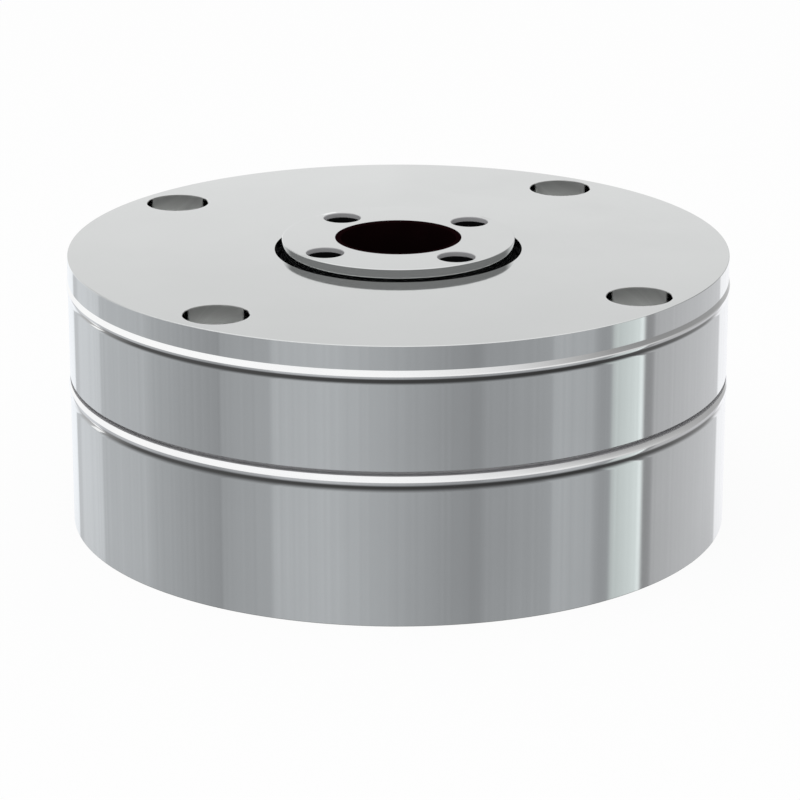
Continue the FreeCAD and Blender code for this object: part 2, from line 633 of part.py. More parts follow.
def pieces():
    """Every piece of the sensor by name."""
    cord_floor = RECESS_RADIUS - 2 * CORD_RADIUS
    bottom_floor = BOTTOM_RECESS_RADIUS - 2 * CORD_RADIUS
    liner = LINER_OUTSIDE / 2
    return {
        "top_cover": top_cover(),
        "upper_seam_ring": ring_section(UPPER_GROOVE[0], UPPER_RING_CREST, UPPER_GROOVE[1]),
        "flexure_body": flexure_body(),
        "lower_seam_ring": ring_section(LOWER_GROOVE[0], LOWER_RING_CREST, LOWER_RING_TOP),
        "base_housing": base_housing(),
        "bottom_cover": bottom_cover(),
        "bore_liner": bore_liner(),
        "gap_seal": gap_seal(),
        "cover_o_ring": seal_ring(cord_floor, RECESS_RADIUS, COVER_CORD_HEIGHT),
        "base_o_ring": seal_ring(cord_floor, RECESS_RADIUS, BASE_CORD_HEIGHT),
        "bottom_o_ring": seal_ring(bottom_floor, BOTTOM_RECESS_RADIUS, BOTTOM_CORD_HEIGHT),
        "liner_o_ring": seal_ring(liner, liner + 2 * LINER_CORD_RADIUS, BOTTOM_CORD_HEIGHT),
        "stack_screws": stack_screws(),
        "bottom_screws": bottom_screws(),
        "dowel_pins": Part.makeCompound(dowels(BASE_JOINT, BASE_DOWEL_ANGLES) + cover_dowels()),
        "x_force_gauges": side_gauges(QUARTER),
        "y_force_gauges": side_gauges(0),
        "z_force_gauges": face_gauges(),
        "terminal_pads": terminal_pads(),
        "flex_leads": Part.makeCompound(around(flex_lead(), quarters(0))),
        "circuit_board": circuit_board(),
        "amplifier_chips": amplifier_chips(),
        "board_standoffs": board_standoffs(),
        "board_screws": board_screws(),
        "connector_shell": connector_shell(),
        "connector_insert": connector_insert(),
        "connector_pins": connector_pins(),
        "connector_o_ring": connector_o_ring(),
        "connector_lead": connector_lead(),
    }


def main():
    os.makedirs("parts", exist_ok=True)
    for name, shape in pieces().items():
        shape.exportStep(f"parts/{name}.step")
        print(name, len(shape.Solids), "solids", round(shape.Volume, 1), "mm3", shape.isValid())


main()
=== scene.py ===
import math

import bmesh
import bpy
from bpy.props import FloatProperty, FloatVectorProperty, IntProperty, PointerProperty
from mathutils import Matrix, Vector


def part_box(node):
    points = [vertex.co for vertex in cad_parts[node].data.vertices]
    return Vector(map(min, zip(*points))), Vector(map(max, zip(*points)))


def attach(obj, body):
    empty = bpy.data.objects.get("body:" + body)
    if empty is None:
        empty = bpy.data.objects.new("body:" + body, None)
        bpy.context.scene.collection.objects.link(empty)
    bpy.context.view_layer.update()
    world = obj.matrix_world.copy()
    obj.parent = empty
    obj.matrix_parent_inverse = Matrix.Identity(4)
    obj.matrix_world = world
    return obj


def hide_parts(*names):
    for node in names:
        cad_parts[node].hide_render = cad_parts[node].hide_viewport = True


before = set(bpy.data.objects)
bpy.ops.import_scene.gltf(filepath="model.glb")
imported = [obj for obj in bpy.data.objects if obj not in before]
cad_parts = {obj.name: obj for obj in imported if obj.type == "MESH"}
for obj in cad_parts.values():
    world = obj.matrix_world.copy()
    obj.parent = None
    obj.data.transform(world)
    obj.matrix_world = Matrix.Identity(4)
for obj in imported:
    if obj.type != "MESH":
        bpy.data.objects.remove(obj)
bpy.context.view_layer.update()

bl_info = {
    "name": "Three-axis force sensor",
    "version": (1, 0, 0),
    "blender": (4, 5, 0),
    "location": "3D View > Sidebar > Sensor",
    "description": "Models and dresses a round three-axis force sensor on a plain studio stage",
    "category": "Object",
}

# One millimetre in metres, the CAD's box, and sizes of CAD nodes in millimetres
MM = 0.001
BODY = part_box("base_housing")[1].x / MM
COVER_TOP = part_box("top_cover")[1].z / MM
HUB_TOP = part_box("flexure_body")[1].z / MM
BASE_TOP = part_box("base_housing")[1].z / MM
# Middle of the frame, numbers of like holes, and how far a tool runs past the face that it cuts
ORIGIN = (0.0, 0.0, 0.0)
QUARTERS = 4
PAIR = 2
OVERRUN = 0.5 * MM
# Distances below which two points are the same, when they are picked and when seams are merged
SAME_PLACE = 1e-6
MERGE = 1e-7
# Faces round a full turn of the smaller turned shapes, and along one round
DRILL_STEPS = 64
SCREW_STEPS = 40
SLEEVE_STEPS = 144
SEAL_STEPS = 160
BARREL_STEPS = 96
BORE_STEPS = 72
PIN_STEPS = 20
THREAD_STEPS = 48
EDGE_SEGMENTS = 5
CORNER_SEGMENTS = 6
# Faces that meet at a smaller angle than this are shaded as one
SMOOTH_ANGLE = math.radians(32)
# Rounds as shares: of the edge round at the cover's opening, of a seam ring's heel, of a slot's width, of a
# contact's radius at its nose, and of the key's width on the contact carrier
OPENING_ROUND = 0.4
HEEL_ROUND = 0.95
SLOT_ROUND = 0.49
NOSE_ROUND = 0.9
CARRIER_ROUND = 0.2
# The thread's ridge in shares of its pitch: half of its foot, how deep that foot is sunk into the barrel,
# half of its crest, and how far from the neck it starts
RIDGE_FOOT = 0.44
RIDGE_SINK = 0.05
RIDGE_CREST = 0.06
RIDGE_START = 0.6


# Properties that a user would change

def size(name, description, millimetres):
    """Length property, written here in millimetres."""
    return FloatProperty(name=name, description=description, default=millimetres * MM,
                         min=0.0, precision=5, unit="LENGTH")


def turn(name, description, degrees):
    """Angle property, written here in degrees."""
    return FloatProperty(name=name, description=description, default=math.radians(degrees), subtype="ANGLE")


def amount(name, description, default, high=1.0):
    """Plain number from nought upwards."""
    return FloatProperty(name=name, description=description, default=default, min=0.0, max=high, precision=4)


def colour(name, description, default):
    """Linear colour without alpha."""
    return FloatVectorProperty(name=name, description=description, default=default, size=3,
                               min=0.0, max=1.0, subtype="COLOR")


class SectionSizes(bpy.types.PropertyGroup):
    """Cover, flexure ring and base as they are stacked, and the rings in their joints."""
    radius: size("Radius", "Radius of all three sections", BODY)
    cover_top: size("Cover top", "Height of the cover's upper face", COVER_TOP)
    cover_joint: size("Cover joint", "Height where cover and flexure meet", 42.6)
    base_joint: size("Base joint", "Height where flexure and base meet", 25.0)
    rebate: size("Rebate depth", "How deep the seam rings are let in", 1.2)
    upper_low: size("Upper groove foot", "Lower shoulder of the upper ring's groove", 41.3)
    upper_high: size("Upper groove top", "Upper shoulder of the upper ring's groove", 43.9)
    lower_low: size("Lower groove foot", "Lower shoulder of the lower ring's groove", 23.0)
    lower_high: size("Lower groove top", "Upper shoulder of the lower ring's groove", 26.7)
    ring_proud: size("Ring crest", "How far a seam ring stands out of the wall", 0.3)
    upper_crest: size("Upper ring crest", "Height of the upper ring's crest", 42.65)
    upper_top: size("Upper ring top", "Height of the upper ring's upper face", 43.9)
    lower_crest: size("Lower ring crest", "Height of the lower ring's crest", 24.7)
    lower_top: size("Lower ring top", "Height of the lower ring's upper face", 25.97)
    ring_heel: amount("Ring heel", "Share of a seam ring's lower flank that runs out into the wall", 0.35)
    edge: size("Edge round", "Round on turned edges", 0.12)
    steps: IntProperty(name="Steps", description="Faces round a full turn", default=240, min=48, max=480)


class InnerSizes(bpy.types.PropertyGroup):
    """Spigots, recesses and the chamber inside the sections."""
    recess: size("Recess radius", "Recesses of the flexure that take the spigots", 43.5)
    spigot: size("Spigot radius", "Spigots of cover and base", 43.4)
    spigot_wall: size("Spigot wall", "Wall of the spigots", 3.2)
    cover_spigot: size("Cover spigot foot", "Lower end of the cover's spigot", 39.6)
    base_spigot: size("Base spigot top", "Upper end of the base's spigot", BASE_TOP)
    plate: size("Plate underside", "Underside of the cover's plate", 43.5)
    collar: size("Collar radius", "Collar under the cover round its opening", 24.5)
    collar_foot: size("Collar foot", "Lower end of that collar", 41.5)
    chamber: size("Chamber radius", "Chamber of the base", 34.5)
    taper_low: size("Taper foot", "Height where the chamber starts to widen", 21.0)
    taper_high: size("Taper top", "Height where the chamber has widened", 24.5)
    ledge: size("Ledge", "Height of the ledge that the bottom cover meets", 4.0)
    bottom_recess: size("Bottom recess", "Radius of the recess for the bottom cover", 42.0)
    cord: size("Seal width", "Width of the rubber rings", 1.4)
    cord_groove: size("Seal groove", "Height of the grooves for the rubber rings", 2.0)
    cover_cord: size("Cover seal height", "Middle of the cover's seal", 41.2)
    base_cord: size("Base seal height", "Middle of the base's seal", 26.9)
    liner_cord: size("Lining seal width", "Width of the lining's seal in the bottom cover", 1.6)
    liner_groove: size("Lining seal groove", "Height of the groove for that seal", 1.9)


class HubSizes(bpy.types.PropertyGroup):
    """Loading hub, its holes, its lined bore and the gap round it."""
    radius: size("Hub radius", "Radius of the raised hub", 20.25)
    top: size("Hub top", "Height of the hub's face", HUB_TOP)
    foot_radius: size("Hub foot radius", "Radius of the hub under the beams", 18.0)
    foot: size("Hub foot", "Lower end of the hub", 22.0)
    opening: size("Opening radius", "Opening of the cover round the hub", 21.5)
    circle: size("Hole circle", "Radius of the circle of the hub's holes", 16.0)
    first: turn("First hole", "Angle of the first hole", 30.0)
    thread: size("Thread radius", "Radius of the threaded holes", 3.0)
    depth: size("Thread depth", "Depth of the threaded holes", 14.0)
    relief: size("Relief radius", "Radius of the short relief at each mouth", 3.25)
    relief_depth: size("Relief depth", "Depth of that relief", 0.9)
    # Above this depth the relief's wall gets the grey painted shade, below it the black painted shade of the
    # thread
    relief_matte: size("Relief matte depth", "How far down the relief's wall is matte and not in shade", 0.8)
    liner: size("Liner radius", "Outside radius of the bore's lining", 11.0)
    bore: size("Bore radius", "Inside radius of the bore's lining", 10.0)
    liner_foot: size("Liner foot", "Lower end of the lining", 0.5)
    seal_foot: size("Seal foot", "Underside of the seal in the gap", 42.5)
    seal_top: size("Seal top", "Upper edge of the seal's lips", 46.3)
    seal_wall: size("Seal lip", "Thickness of the seal's lips", 0.35)
    seal_web: size("Seal web", "Thickness of the seal's floor", 0.6)


class BeamSizes(bpy.types.PropertyGroup):
    """Cross beams, their leaf springs and the windows between them."""
    low: size("Web foot", "Underside of the beams", 29.0)
    high: size("Web top", "Upper face of the beams", 39.0)
    root: size("Root radius", "Radius where the beams leave the hub", 24.0)
    width: size("Beam width", "Width of each beam", 11.0)
    window: size("Window radius", "Outer radius of the windows", 39.2)
    window_round: size("Window corners", "Round in the windows' corners", 2.5)
    leaf: size("Leaf thickness", "Thickness of the leaf springs", 2.0)
    slot: size("Slot width", "Width of the slots behind the leaves", 2.0)
    slot_half: turn("Slot reach", "Half of a slot's angle", 24.0)
    neck_from: size("Neck start", "Start of the thinned part", 29.0)
    neck_to: size("Neck end", "End of the thinned part", 34.5)
    neck_side: size("Neck side cut", "Depth of the cuts in the beams' sides", 1.5)
    neck_face: size("Neck face cut", "Depth of the cuts above and below", 1.0)


class FastenerSizes(bpy.types.PropertyGroup):
    """Mounting holes, screws and the bottom cover."""
    circle: size("Mounting circle", "Radius of the circle of the mounting holes", 50.0)
    hole: size("Mounting hole", "Radius of the mounting holes", 5.5)
    first: turn("First mounting hole", "Angle of the first mounting hole", 45.0)
    break_edge: size("Broken edge", "Bevel at the mouths of holes", 0.1)
    stack_first: turn("First stack screw", "Angle of the first stack screw", 20.0)
    stack: size("Stack screw", "Radius of the stack screws", 2.0)
    stack_clear: size("Stack clearance", "Radius of their clearance holes", 2.25)
    stack_head: size("Stack head", "Radius of their heads", 3.5)
    stack_head_height: size("Stack head height", "Height of their heads", 4.0)
    stack_bore: size("Stack counterbore", "Radius of their counterbores", 4.0)
    stack_seat: size("Stack seat", "Height of the heads' seat", 6.8)
    stack_tip: size("Stack tip", "Height of the screws' tips", 46.8)
    stack_socket: size("Stack socket", "Half width of the hexagon socket", 1.5)
    stack_socket_depth: size("Stack socket depth", "Depth of the hexagon socket", 2.0)
    dowel: size("Dowel", "Radius of the dowel pins", 2.0)
    dowel_half: size("Dowel half length", "Length of a dowel on each side of a joint", 6.0)
    dowel_top: size("Dowel top", "Upper end of the dowels in the cover", 46.0)
    base_dowel: turn("Base dowel", "Angle of the first dowel between base and flexure", 70.0)
    cover_dowel: turn("Cover dowel", "Angle of the first dowel between flexure and cover", 160.0)
    cover_radius: size("Bottom cover radius", "Radius of the bottom cover", 41.8)
    cover_face: size("Bottom cover face", "Height of its lower face", 0.2)
    passage: size("Liner passage", "Radius of its hole for the lining", 11.3)
    screw_circle: size("Bottom screw circle", "Radius of the circle of its screws", 37.6)
    screw: size("Bottom screw", "Radius of its screws", 1.5)
    screw_head: size("Bottom screw head", "Radius of their heads", 3.0)
    screw_tip: size("Bottom screw tip", "Height of their tips", 10.2)
    screw_socket: size("Bottom screw socket", "Half width of their sockets", 1.0)
    screw_socket_depth: size("Bottom socket depth", "Depth of their sockets", 1.1)
    screw_count: IntProperty(name="Bottom screws", description="Number of bottom screws", default=6,
                             min=3, max=12)
    peg_circle: size("Standoff circle", "Radius of the circle of the board's standoffs", 28.0)
    peg: size("Standoff peg", "Radius of the pegs in the bottom cover", 1.5)
    peg_foot: size("Standoff peg foot", "Lower end of the pegs", 2.5)


class ConnectorSizes(bpy.types.PropertyGroup):
    """Connector at the back of the base."""
    height: size("Height", "Height of its axis", 12.5)
    flat: size("Spot face", "Distance of the flat from the middle", 56.2)
    flat_radius: size("Spot face radius", "Radius of the flat", 10.4)
    rear: size("Rear end", "Distance of the shell's inner end", 46.2)
    rear_radius: size("Rear radius", "Radius of the shell's rear thread", 7.0)
    passage: size("Passage", "Radius of the wire passage in the base", 5.0)
    hex_half: size("Hexagon", "Half of the hexagon's width", 9.0)
    hex_length: size("Hexagon length", "Length of the hexagon", 4.0)
    front_radius: size("Front radius", "Radius over the front thread", 6.0)
    front_length: size("Front length", "Length in front of the hexagon", 9.0)
    neck_radius: size("Neck radius", "Radius of the neck behind the thread", 5.4)
    neck_length: size("Neck length", "Length of that neck", 1.0)
    pitch: size("Thread pitch", "Pitch of the front thread", 1.0)
    insert: size("Insert radius", "Radius of the contact carrier", 4.8)
    insert_rear: size("Insert rear", "Distance of its inner end", 48.2)
    insert_front: size("Insert front", "Distance of its face", 62.2)
    rear_bore: size("Rear bore", "Radius of the bore behind the carrier", 4.0)
    key: size("Key width", "Width of the key groove", 1.0)
    pin: size("Pin radius", "Radius of the contacts", 0.5)
    pin_circle: size("Pin circle", "Radius of the ring of contacts", 2.75)
    pin_rear: size("Pin rear", "Distance of the contacts' inner ends", 47.2)
    pin_front: size("Pin front", "Distance of the contacts' tips", 67.2)
    pin_count: IntProperty(name="Ring contacts", description="Contacts in the ring", default=7, min=3, max=11)
    groove: size("Seal groove", "Outside radius of the seal groove under the hexagon", 8.4)
    groove_depth: size("Seal groove depth", "Depth of that groove", 1.3)


class FinishColours(bpy.types.PropertyGroup):
    """Colours and roughness of the finishes."""
    steel: colour("Steel", "Polished stainless steel", (0.86, 0.876, 0.872))
    steel_haze: colour("Steel haze", "Steel where it has been handled", (0.838, 0.854, 0.85))
    ring: colour("Ring steel", "Bright seam rings", (0.94, 0.945, 0.945))
    ring_haze: colour("Ring haze", "Seam rings where they have been handled", (0.90, 0.905, 0.91))
    bored: colour("Bored steel", "Walls of drilled holes", (0.95, 0.96, 0.95))
    # The bored mouth colour is painted shade: drilled walls turn darker towards the cover's face, over the
    # depth below
    bored_mouth_shade: colour("Bored mouth", "Drilled walls close to the cover's face", (0.45, 0.455, 0.45))
    mouth_shade_depth: size("Mouth depth", "How far that darker mouth reaches down", 3.6)
    bored_rough: amount("Bored roughness", "Roughness of drilled walls that are faced", 0.92)
    bored_gleam: amount("Bored gleam", "Roughness of drilled walls seen from the side", 0.05)
    # The joint grey is painted shade: it darkens the faces inside the joints' grooves and the upper mouths of
    # the hub's holes
    joint: colour("Joint", "Faces inside the joints' grooves", (0.42, 0.42, 0.43))
    anodised: colour("Black anodising", "Lining of the bore", (0.004, 0.0012, 0.0015))
    # This black also lines the hub's threads, as painted shade
    rubber: colour("Rubber", "Seals and shaded threads", (0.006, 0.006, 0.0065))
    screw: colour("Screw steel", "Plain stainless screws", (0.55, 0.55, 0.56))
    screw_haze: colour("Screw haze", "Screws where they have been handled", (0.67, 0.68, 0.68))
    nickel: colour("Nickel", "Nickel plated brass", (0.68, 0.66, 0.60))
    gold: colour("Gold", "Gold plated contacts", (0.83, 0.60, 0.24))
    film: colour("Film", "Amber film of gauges and leads", (0.60, 0.27, 0.045))
    copper: colour("Copper", "Solder terminals", (0.80, 0.50, 0.32))
    board: colour("Board", "Green laminate", (0.012, 0.11, 0.042))
    chip: colour("Chip", "Moulded chips", (0.022, 0.022, 0.025))
    insert: colour("Insert", "Moulded contact carrier", (0.018, 0.018, 0.02))
    sheath: colour("Sheath", "Sheath of the inner lead", (0.07, 0.07, 0.075))


class StageSettings(bpy.types.PropertyGroup):
    """Camera, floor and studio light."""
    distance: size("Camera distance", "Level distance of the camera from the load axis", 611.9)
    height: size("Camera height", "Height of the camera above the floor", 221.7)
    turn: turn("Camera turn", "Turn of the camera to the left of the front", 8.36)
    pitch: turn("Camera pitch", "Downward pitch of the camera", 18.24)
    view: turn("Field of view", "Field of view over the width of the frame", 12.51)
    yaw: turn("Camera yaw", "Small turn that sets the sensor a little left of the middle", 0.0286)
    floor: colour("Floor", "Pale floor", (0.90, 0.90, 0.90))
    floor_glow: amount("Floor white", "Share of plain white that the camera sees on the floor", 0.92)
    front_shade: amount("Front shade", "Level of the studio above the camera, for the hub's wall", 0.19)
    underneath: amount("Underneath", "Level of the studio's floor straight below", 0.4)
    panel_tint: colour("Panel tint", "Faint tint of most studio panels", (0.942, 0.965, 1.0))
    strip_tint: colour("Strip tint", "Faint tint of the bright panel at the right", (0.9, 0.965, 0.96))
    right_tint: colour("Right tint", "Faint tint of the panels right of that one", (0.965, 0.965, 0.99))
    room: amount("Room light", "Light of the room on matte surfaces", 0.8, 4.0)
    lamp_watts: amount("Lamp power", "Power of the overhead lamp in watts", 2.0, 100.0)


GROUPS = {
    "sensor_sections": SectionSizes,
    "sensor_inner": InnerSizes,
    "sensor_hub": HubSizes,
    "sensor_beams": BeamSizes,
    "sensor_fasteners": FastenerSizes,
    "sensor_connector": ConnectorSizes,
    "sensor_finishes": FinishColours,
    "sensor_stage": StageSettings,
}


def settings(*names):
    """The scene's property groups by the last word of their names."""
    return [getattr(bpy.context.scene, "sensor_" + name) for name in names]


# Modelling by operators

def clear_selection():
    """Object mode with nothing selected."""
    if bpy.context.mode != "OBJECT":
        bpy.ops.object.mode_set(mode="OBJECT")
    bpy.ops.object.select_all(action="DESELECT")


def pick(piece):
    """Make one object the only selected and active one."""
    clear_selection()
    piece.select_set(True)
    bpy.context.view_layer.objects.active = piece


def draw_outline(name, points):
    """Closed outline drawn point by point in edit mode and filled with one face."""
    clear_selection()
    bpy.ops.mesh.primitive_plane_add(size=MM)
    piece = bpy.context.object
    piece.name = name
    piece.data.name = name
    bpy.ops.object.mode_set(mode="EDIT")
    bpy.ops.mesh.select_mode(type="VERT")
    bpy.ops.mesh.select_all(action="SELECT")
    bpy.ops.mesh.merge(type="CENTER")
    bpy.ops.transform.translate(value=points[0])
    for start, end in zip(points, points[1:]):
        bpy.ops.mesh.extrude_region_move(TRANSFORM_OT_translate={"value": end - start})
    bpy.ops.mesh.select_all(action="SELECT")
    bpy.ops.mesh.edge_face_add()
    return piece


def round_points(piece, wanted, radius, segments):
    """Round the outline's corners that lie at the wanted places."""
    bpy.ops.mesh.select_all(action="DESELECT")
    shape = bmesh.from_edit_mesh(piece.data)
    for vertex in shape.verts:
        vertex.select = any((vertex.co - place).length < SAME_PLACE for place in wanted)
    shape.select_flush_mode()
    bmesh.update_edit_mesh(piece.data)
    bpy.ops.mesh.bevel(offset=radius, offset_type="OFFSET", segments=segments, affect="VERTICES")
    bpy.ops.mesh.select_all(action="SELECT")


def drop_face():
    """Leave only the outline's edges, all of them selected."""
    bpy.ops.mesh.select_all(action="SELECT")
    bpy.ops.mesh.delete(type="ONLY_FACE")
    bpy.ops.mesh.select_all(action="SELECT")


def close_shell():
    """Merge seams and poles, turn the faces outwards and leave edit mode."""
    bpy.ops.mesh.select_all(action="SELECT")
    bpy.ops.mesh.remove_doubles(threshold=MERGE)
    bpy.ops.mesh.normals_make_consistent(inside=False)
    bpy.ops.object.mode_set(mode="OBJECT")


def lathe(name, corners, steps, centre=ORIGIN, axis="Z"):
    """Closed solid turned from corners of radius and height; a corner's third number is its round."""
    origin = Vector(centre)
    along = Vector((0, 1, 0)) if axis == "Y" else Vector((0, 0, 1))
    points = [origin + Vector((corner[0], 0, 0)) + along * corner[1] for corner in corners]
    piece = draw_outline(name, points)
    for point, corner in zip(points, corners):
        for radius in corner[2:]:
            round_points(piece, [point], radius, EDGE_SEGMENTS)
    drop_face()
    bpy.ops.mesh.spin(steps=steps, angle=math.tau, center=origin, axis=along)
    close_shell()
    return piece


def lathe_plug(plug, name, corners, steps):
    """Closed solid turned about the connector's axis."""
    return lathe(name, corners, steps, (0.0, 0.0, plug.height), "Y")


def prism(name, outline, low, high, rounds=(), radius=0.0, axis="Z", centre=ORIGIN):
    """Upright or lying prism over a flat outline; the corners listed in rounds are rounded."""
    origin = Vector(centre)
    if axis == "Y":
        points = [origin + Vector((u, low, v)) for u, v in outline]
        travel = Vector((0, high - low, 0))
    else:
        points = [origin + Vector((u, v, low)) for u, v in outline]
        travel = Vector((0, 0, high - low))
    piece = draw_outline(name, points)
    if rounds:
        round_points(piece, [points[index] for index in rounds], radius, CORNER_SEGMENTS)
    bpy.ops.mesh.extrude_region_move(TRANSFORM_OT_translate={"value": travel})
    close_shell()
    return piece


def on_circle(radius, angle):
    """Point on a circle about the load axis."""
    return radius * math.cos(angle), radius * math.sin(angle)


def arc(radius, start, end, steps):
    """Points along an arc about the load axis, both ends included."""
    return [on_circle(radius, start + (end - start) * step / steps) for step in range(steps + 1)]


def hexagon(half_width):
    """Outline of a hexagon with the given half width across flats."""
    reach = half_width / math.cos(math.pi / 6)
    return [on_circle(reach, math.pi / 3 * side) for side in range(6)]


def plain_hole(radius, low, high):
    """Section of a plain drill."""
    return [(0.0, low), (radius, low), (radius, high), (0.0, high)]


def broken_hole(radius, low, high, bevel):
    """Section of a drill that bevels the mouth of its hole, which is at the high end."""
    past = high + OVERRUN
    return [(0.0, low), (radius, low), (radius, high - bevel), (radius + bevel + OVERRUN, past), (0.0, past)]


def groove(wall, floor, middle, height):
    """Corners of a square groove in a turned wall, from its lower edge to its upper one."""
    low = middle - height / 2
    high = middle + height / 2
    return [(wall, low), (floor, low), (floor, high), (wall, high)]


def repeated(tool, count, axis="Z", centre=ORIGIN):
    """A tool and its copies, evenly spaced about an axis."""
    tools = [tool]
    for index in range(1, count):
        pick(tool)
        bpy.ops.object.duplicate()
        bpy.ops.transform.rotate(value=math.tau * index / count, orient_axis=axis, center_override=centre)
        bpy.ops.object.transform_apply(location=True, rotation=True, scale=True)
        tools.append(bpy.context.object)
    return tools


def drills(corners, circle, first, count=QUARTERS):
    """Turned drills on a circle about the load axis."""
    return repeated(lathe("drill", corners, DRILL_STEPS, (*on_circle(circle, first), 0.0)), count)


def joined(tools):
    """Join tools into one object."""
    clear_selection()
    for tool in tools:
        tool.select_set(True)
    bpy.context.view_layer.objects.active = tools[0]
    if len(tools) > 1:
        bpy.ops.object.join()
    return tools[0]


def modify(piece, kind, **values):
    """Add a modifier to a piece, set its values and apply it."""
    pick(piece)
    bpy.ops.object.modifier_add(type=kind)
    step = piece.modifiers[-1]
    for name, value in values.items():
        setattr(step, name, value)
    bpy.ops.object.modifier_apply(modifier=step.name)


def carve(piece, tools, lining=None, operation="DIFFERENCE"):
    """Cut tools out of a piece, or intersect or unite it with them; a lining finishes the cut walls."""
    tool = joined(tools)
    if lining:
        dress(tool, lining)
    modify(piece, "BOOLEAN", operation=operation, object=tool, solver="EXACT", material_mode="TRANSFER")
    bpy.data.objects.remove(tool)


def dress(piece, name):
    """Give a piece its main finish before anything is cut from it."""
    piece.data.materials.clear()
    piece.data.materials.append(finish(name))


def finish_zone(piece, name, near, low, far, high):
    """Give the faces of a turned piece between two radii and two heights another finish."""
    piece.data.materials.append(finish(name))
    pick(piece)
    bpy.ops.object.mode_set(mode="EDIT")
    bpy.ops.mesh.select_all(action="DESELECT")
    bpy.ops.mesh.select_mode(type="FACE")
    shape = bmesh.from_edit_mesh(piece.data)
    for face in shape.faces:
        middle = face.calc_center_median()
        reach = math.hypot(middle.x, middle.y)
        face.select = near - SAME_PLACE < reach < far and low - SAME_PLACE < middle.z < high + SAME_PLACE
    bmesh.update_edit_mesh(piece.data)
    piece.active_material_index = len(piece.data.materials) - 1
    bpy.ops.object.material_slot_assign()
    bpy.ops.object.mode_set(mode="OBJECT")


def fit(piece, slot, *nodes):
    """Smooth a finished piece and seat it on the sensor in place of its plain nodes."""
    pick(piece)
    bpy.ops.object.shade_smooth_by_angle(angle=SMOOTH_ANGLE)
    modify(piece, "WEIGHTED_NORMAL", mode="FACE_AREA", weight=100, keep_sharp=True)
    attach(piece, "root")
    if nodes:
        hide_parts(*nodes)


# Shader nodes

def add_node(tree, kind, inputs=None, **values):
    """New shader node with its settings; each input is linked to a socket or set to a value."""
    node = tree.nodes.new("ShaderNode" + kind)
    for name, value in values.items():
        setattr(node, name, value)
    for key, value in (inputs or {}).items():
        if isinstance(value, bpy.types.NodeSocket):
            tree.links.new(value, node.inputs[key])
        else:
            node.inputs[key].default_value = value
    return node


def maths(tree, operation, first, second=0.0):
    """Result of a Math node whose inputs are sockets or numbers."""
    return add_node(tree, "Math", {0: first, 1: second}, operation=operation).outputs[0]


def weighted(tree, first, second, share):
    """Mean of two values, with the share that the first one has in it."""
    rest = maths(tree, "MULTIPLY", second, 1 - share)
    return maths(tree, "ADD", maths(tree, "MULTIPLY", first, share), rest)


def gradient(tree, value, start, end, first, last):
    """Level that runs evenly from one value to another and is held beyond them."""
    inputs = {"Value": value, "From Min": start, "From Max": end, "To Min": first, "To Max": last}
    return add_node(tree, "MapRange", inputs).outputs["Result"]


def smooth_step(tree, value, low, high):
    """Nought below one limit, one above the other, smooth between."""
    inputs = {"Value": value, "From Min": low, "From Max": high}
    return add_node(tree, "MapRange", inputs, interpolation_type="SMOOTHSTEP").outputs["Result"]


def as_colour(value):
    """A socket as it is, and a grey level or a colour with the four numbers that a socket takes."""
    if isinstance(value, bpy.types.NodeSocket):
        return value
    if isinstance(value, float):
        value = (value, value, value)
    return (*value, 1.0)


def blend(tree, factor, first, second, kind="MIX"):
    """Blend of two colours, grey levels or sockets by a factor."""
    inputs = {0: factor, 6: as_colour(first), 7: as_colour(second)}
    return add_node(tree, "Mix", inputs, data_type="RGBA", blend_type=kind).outputs[2]


def shared_group(name, setting, default, fill):
    """Node group that is made once: a vector and one setting go in, and what its function gives comes out."""
    if name in bpy.data.node_groups:
        return bpy.data.node_groups[name]
    group = bpy.data.node_groups.new(name, "ShaderNodeTree")
    group.interface.new_socket("Vector", in_out="INPUT", socket_type="NodeSocketVector")
    value = group.interface.new_socket(setting, in_out="INPUT", socket_type="NodeSocketFloat")
    value.default_value = default
    results = fill(group, group.nodes.new("NodeGroupInput").outputs)
    for label in results:
        group.interface.new_socket(label, in_out="OUTPUT", socket_type="NodeSocketFloat")
    end = group.nodes.new("NodeGroupOutput")
    for label, socket in results.items():
        group.links.new(socket, end.inputs[label])
    return group


# Finishes

# Turned metals: clean and hazed colour, roughness and its spread, and the strength of the lathe's rings
METALS = {
    "Polished Steel": dict(clean="steel", hazed="steel_haze", rough=0.06, spread=0.03, rings=0.02),
    "Ring Steel": dict(clean="ring", hazed="ring_haze", rough=0.06, spread=0.03, rings=0.02),
    "Screw Steel": dict(clean="screw", hazed="screw_haze", rough=0.26, spread=0.12, rings=0.1),
    "Nickel Plate": dict(clean="nickel", hazed="screw", rough=0.18, spread=0.1, rings=0.05),
    "Gold Plate": dict(clean="gold", hazed="nickel", rough=0.2, spread=0.1, rings=0.05),
    "Solder Copper": dict(clean="copper", hazed="nickel", rough=0.3, spread=0.12, rings=0.05),
}
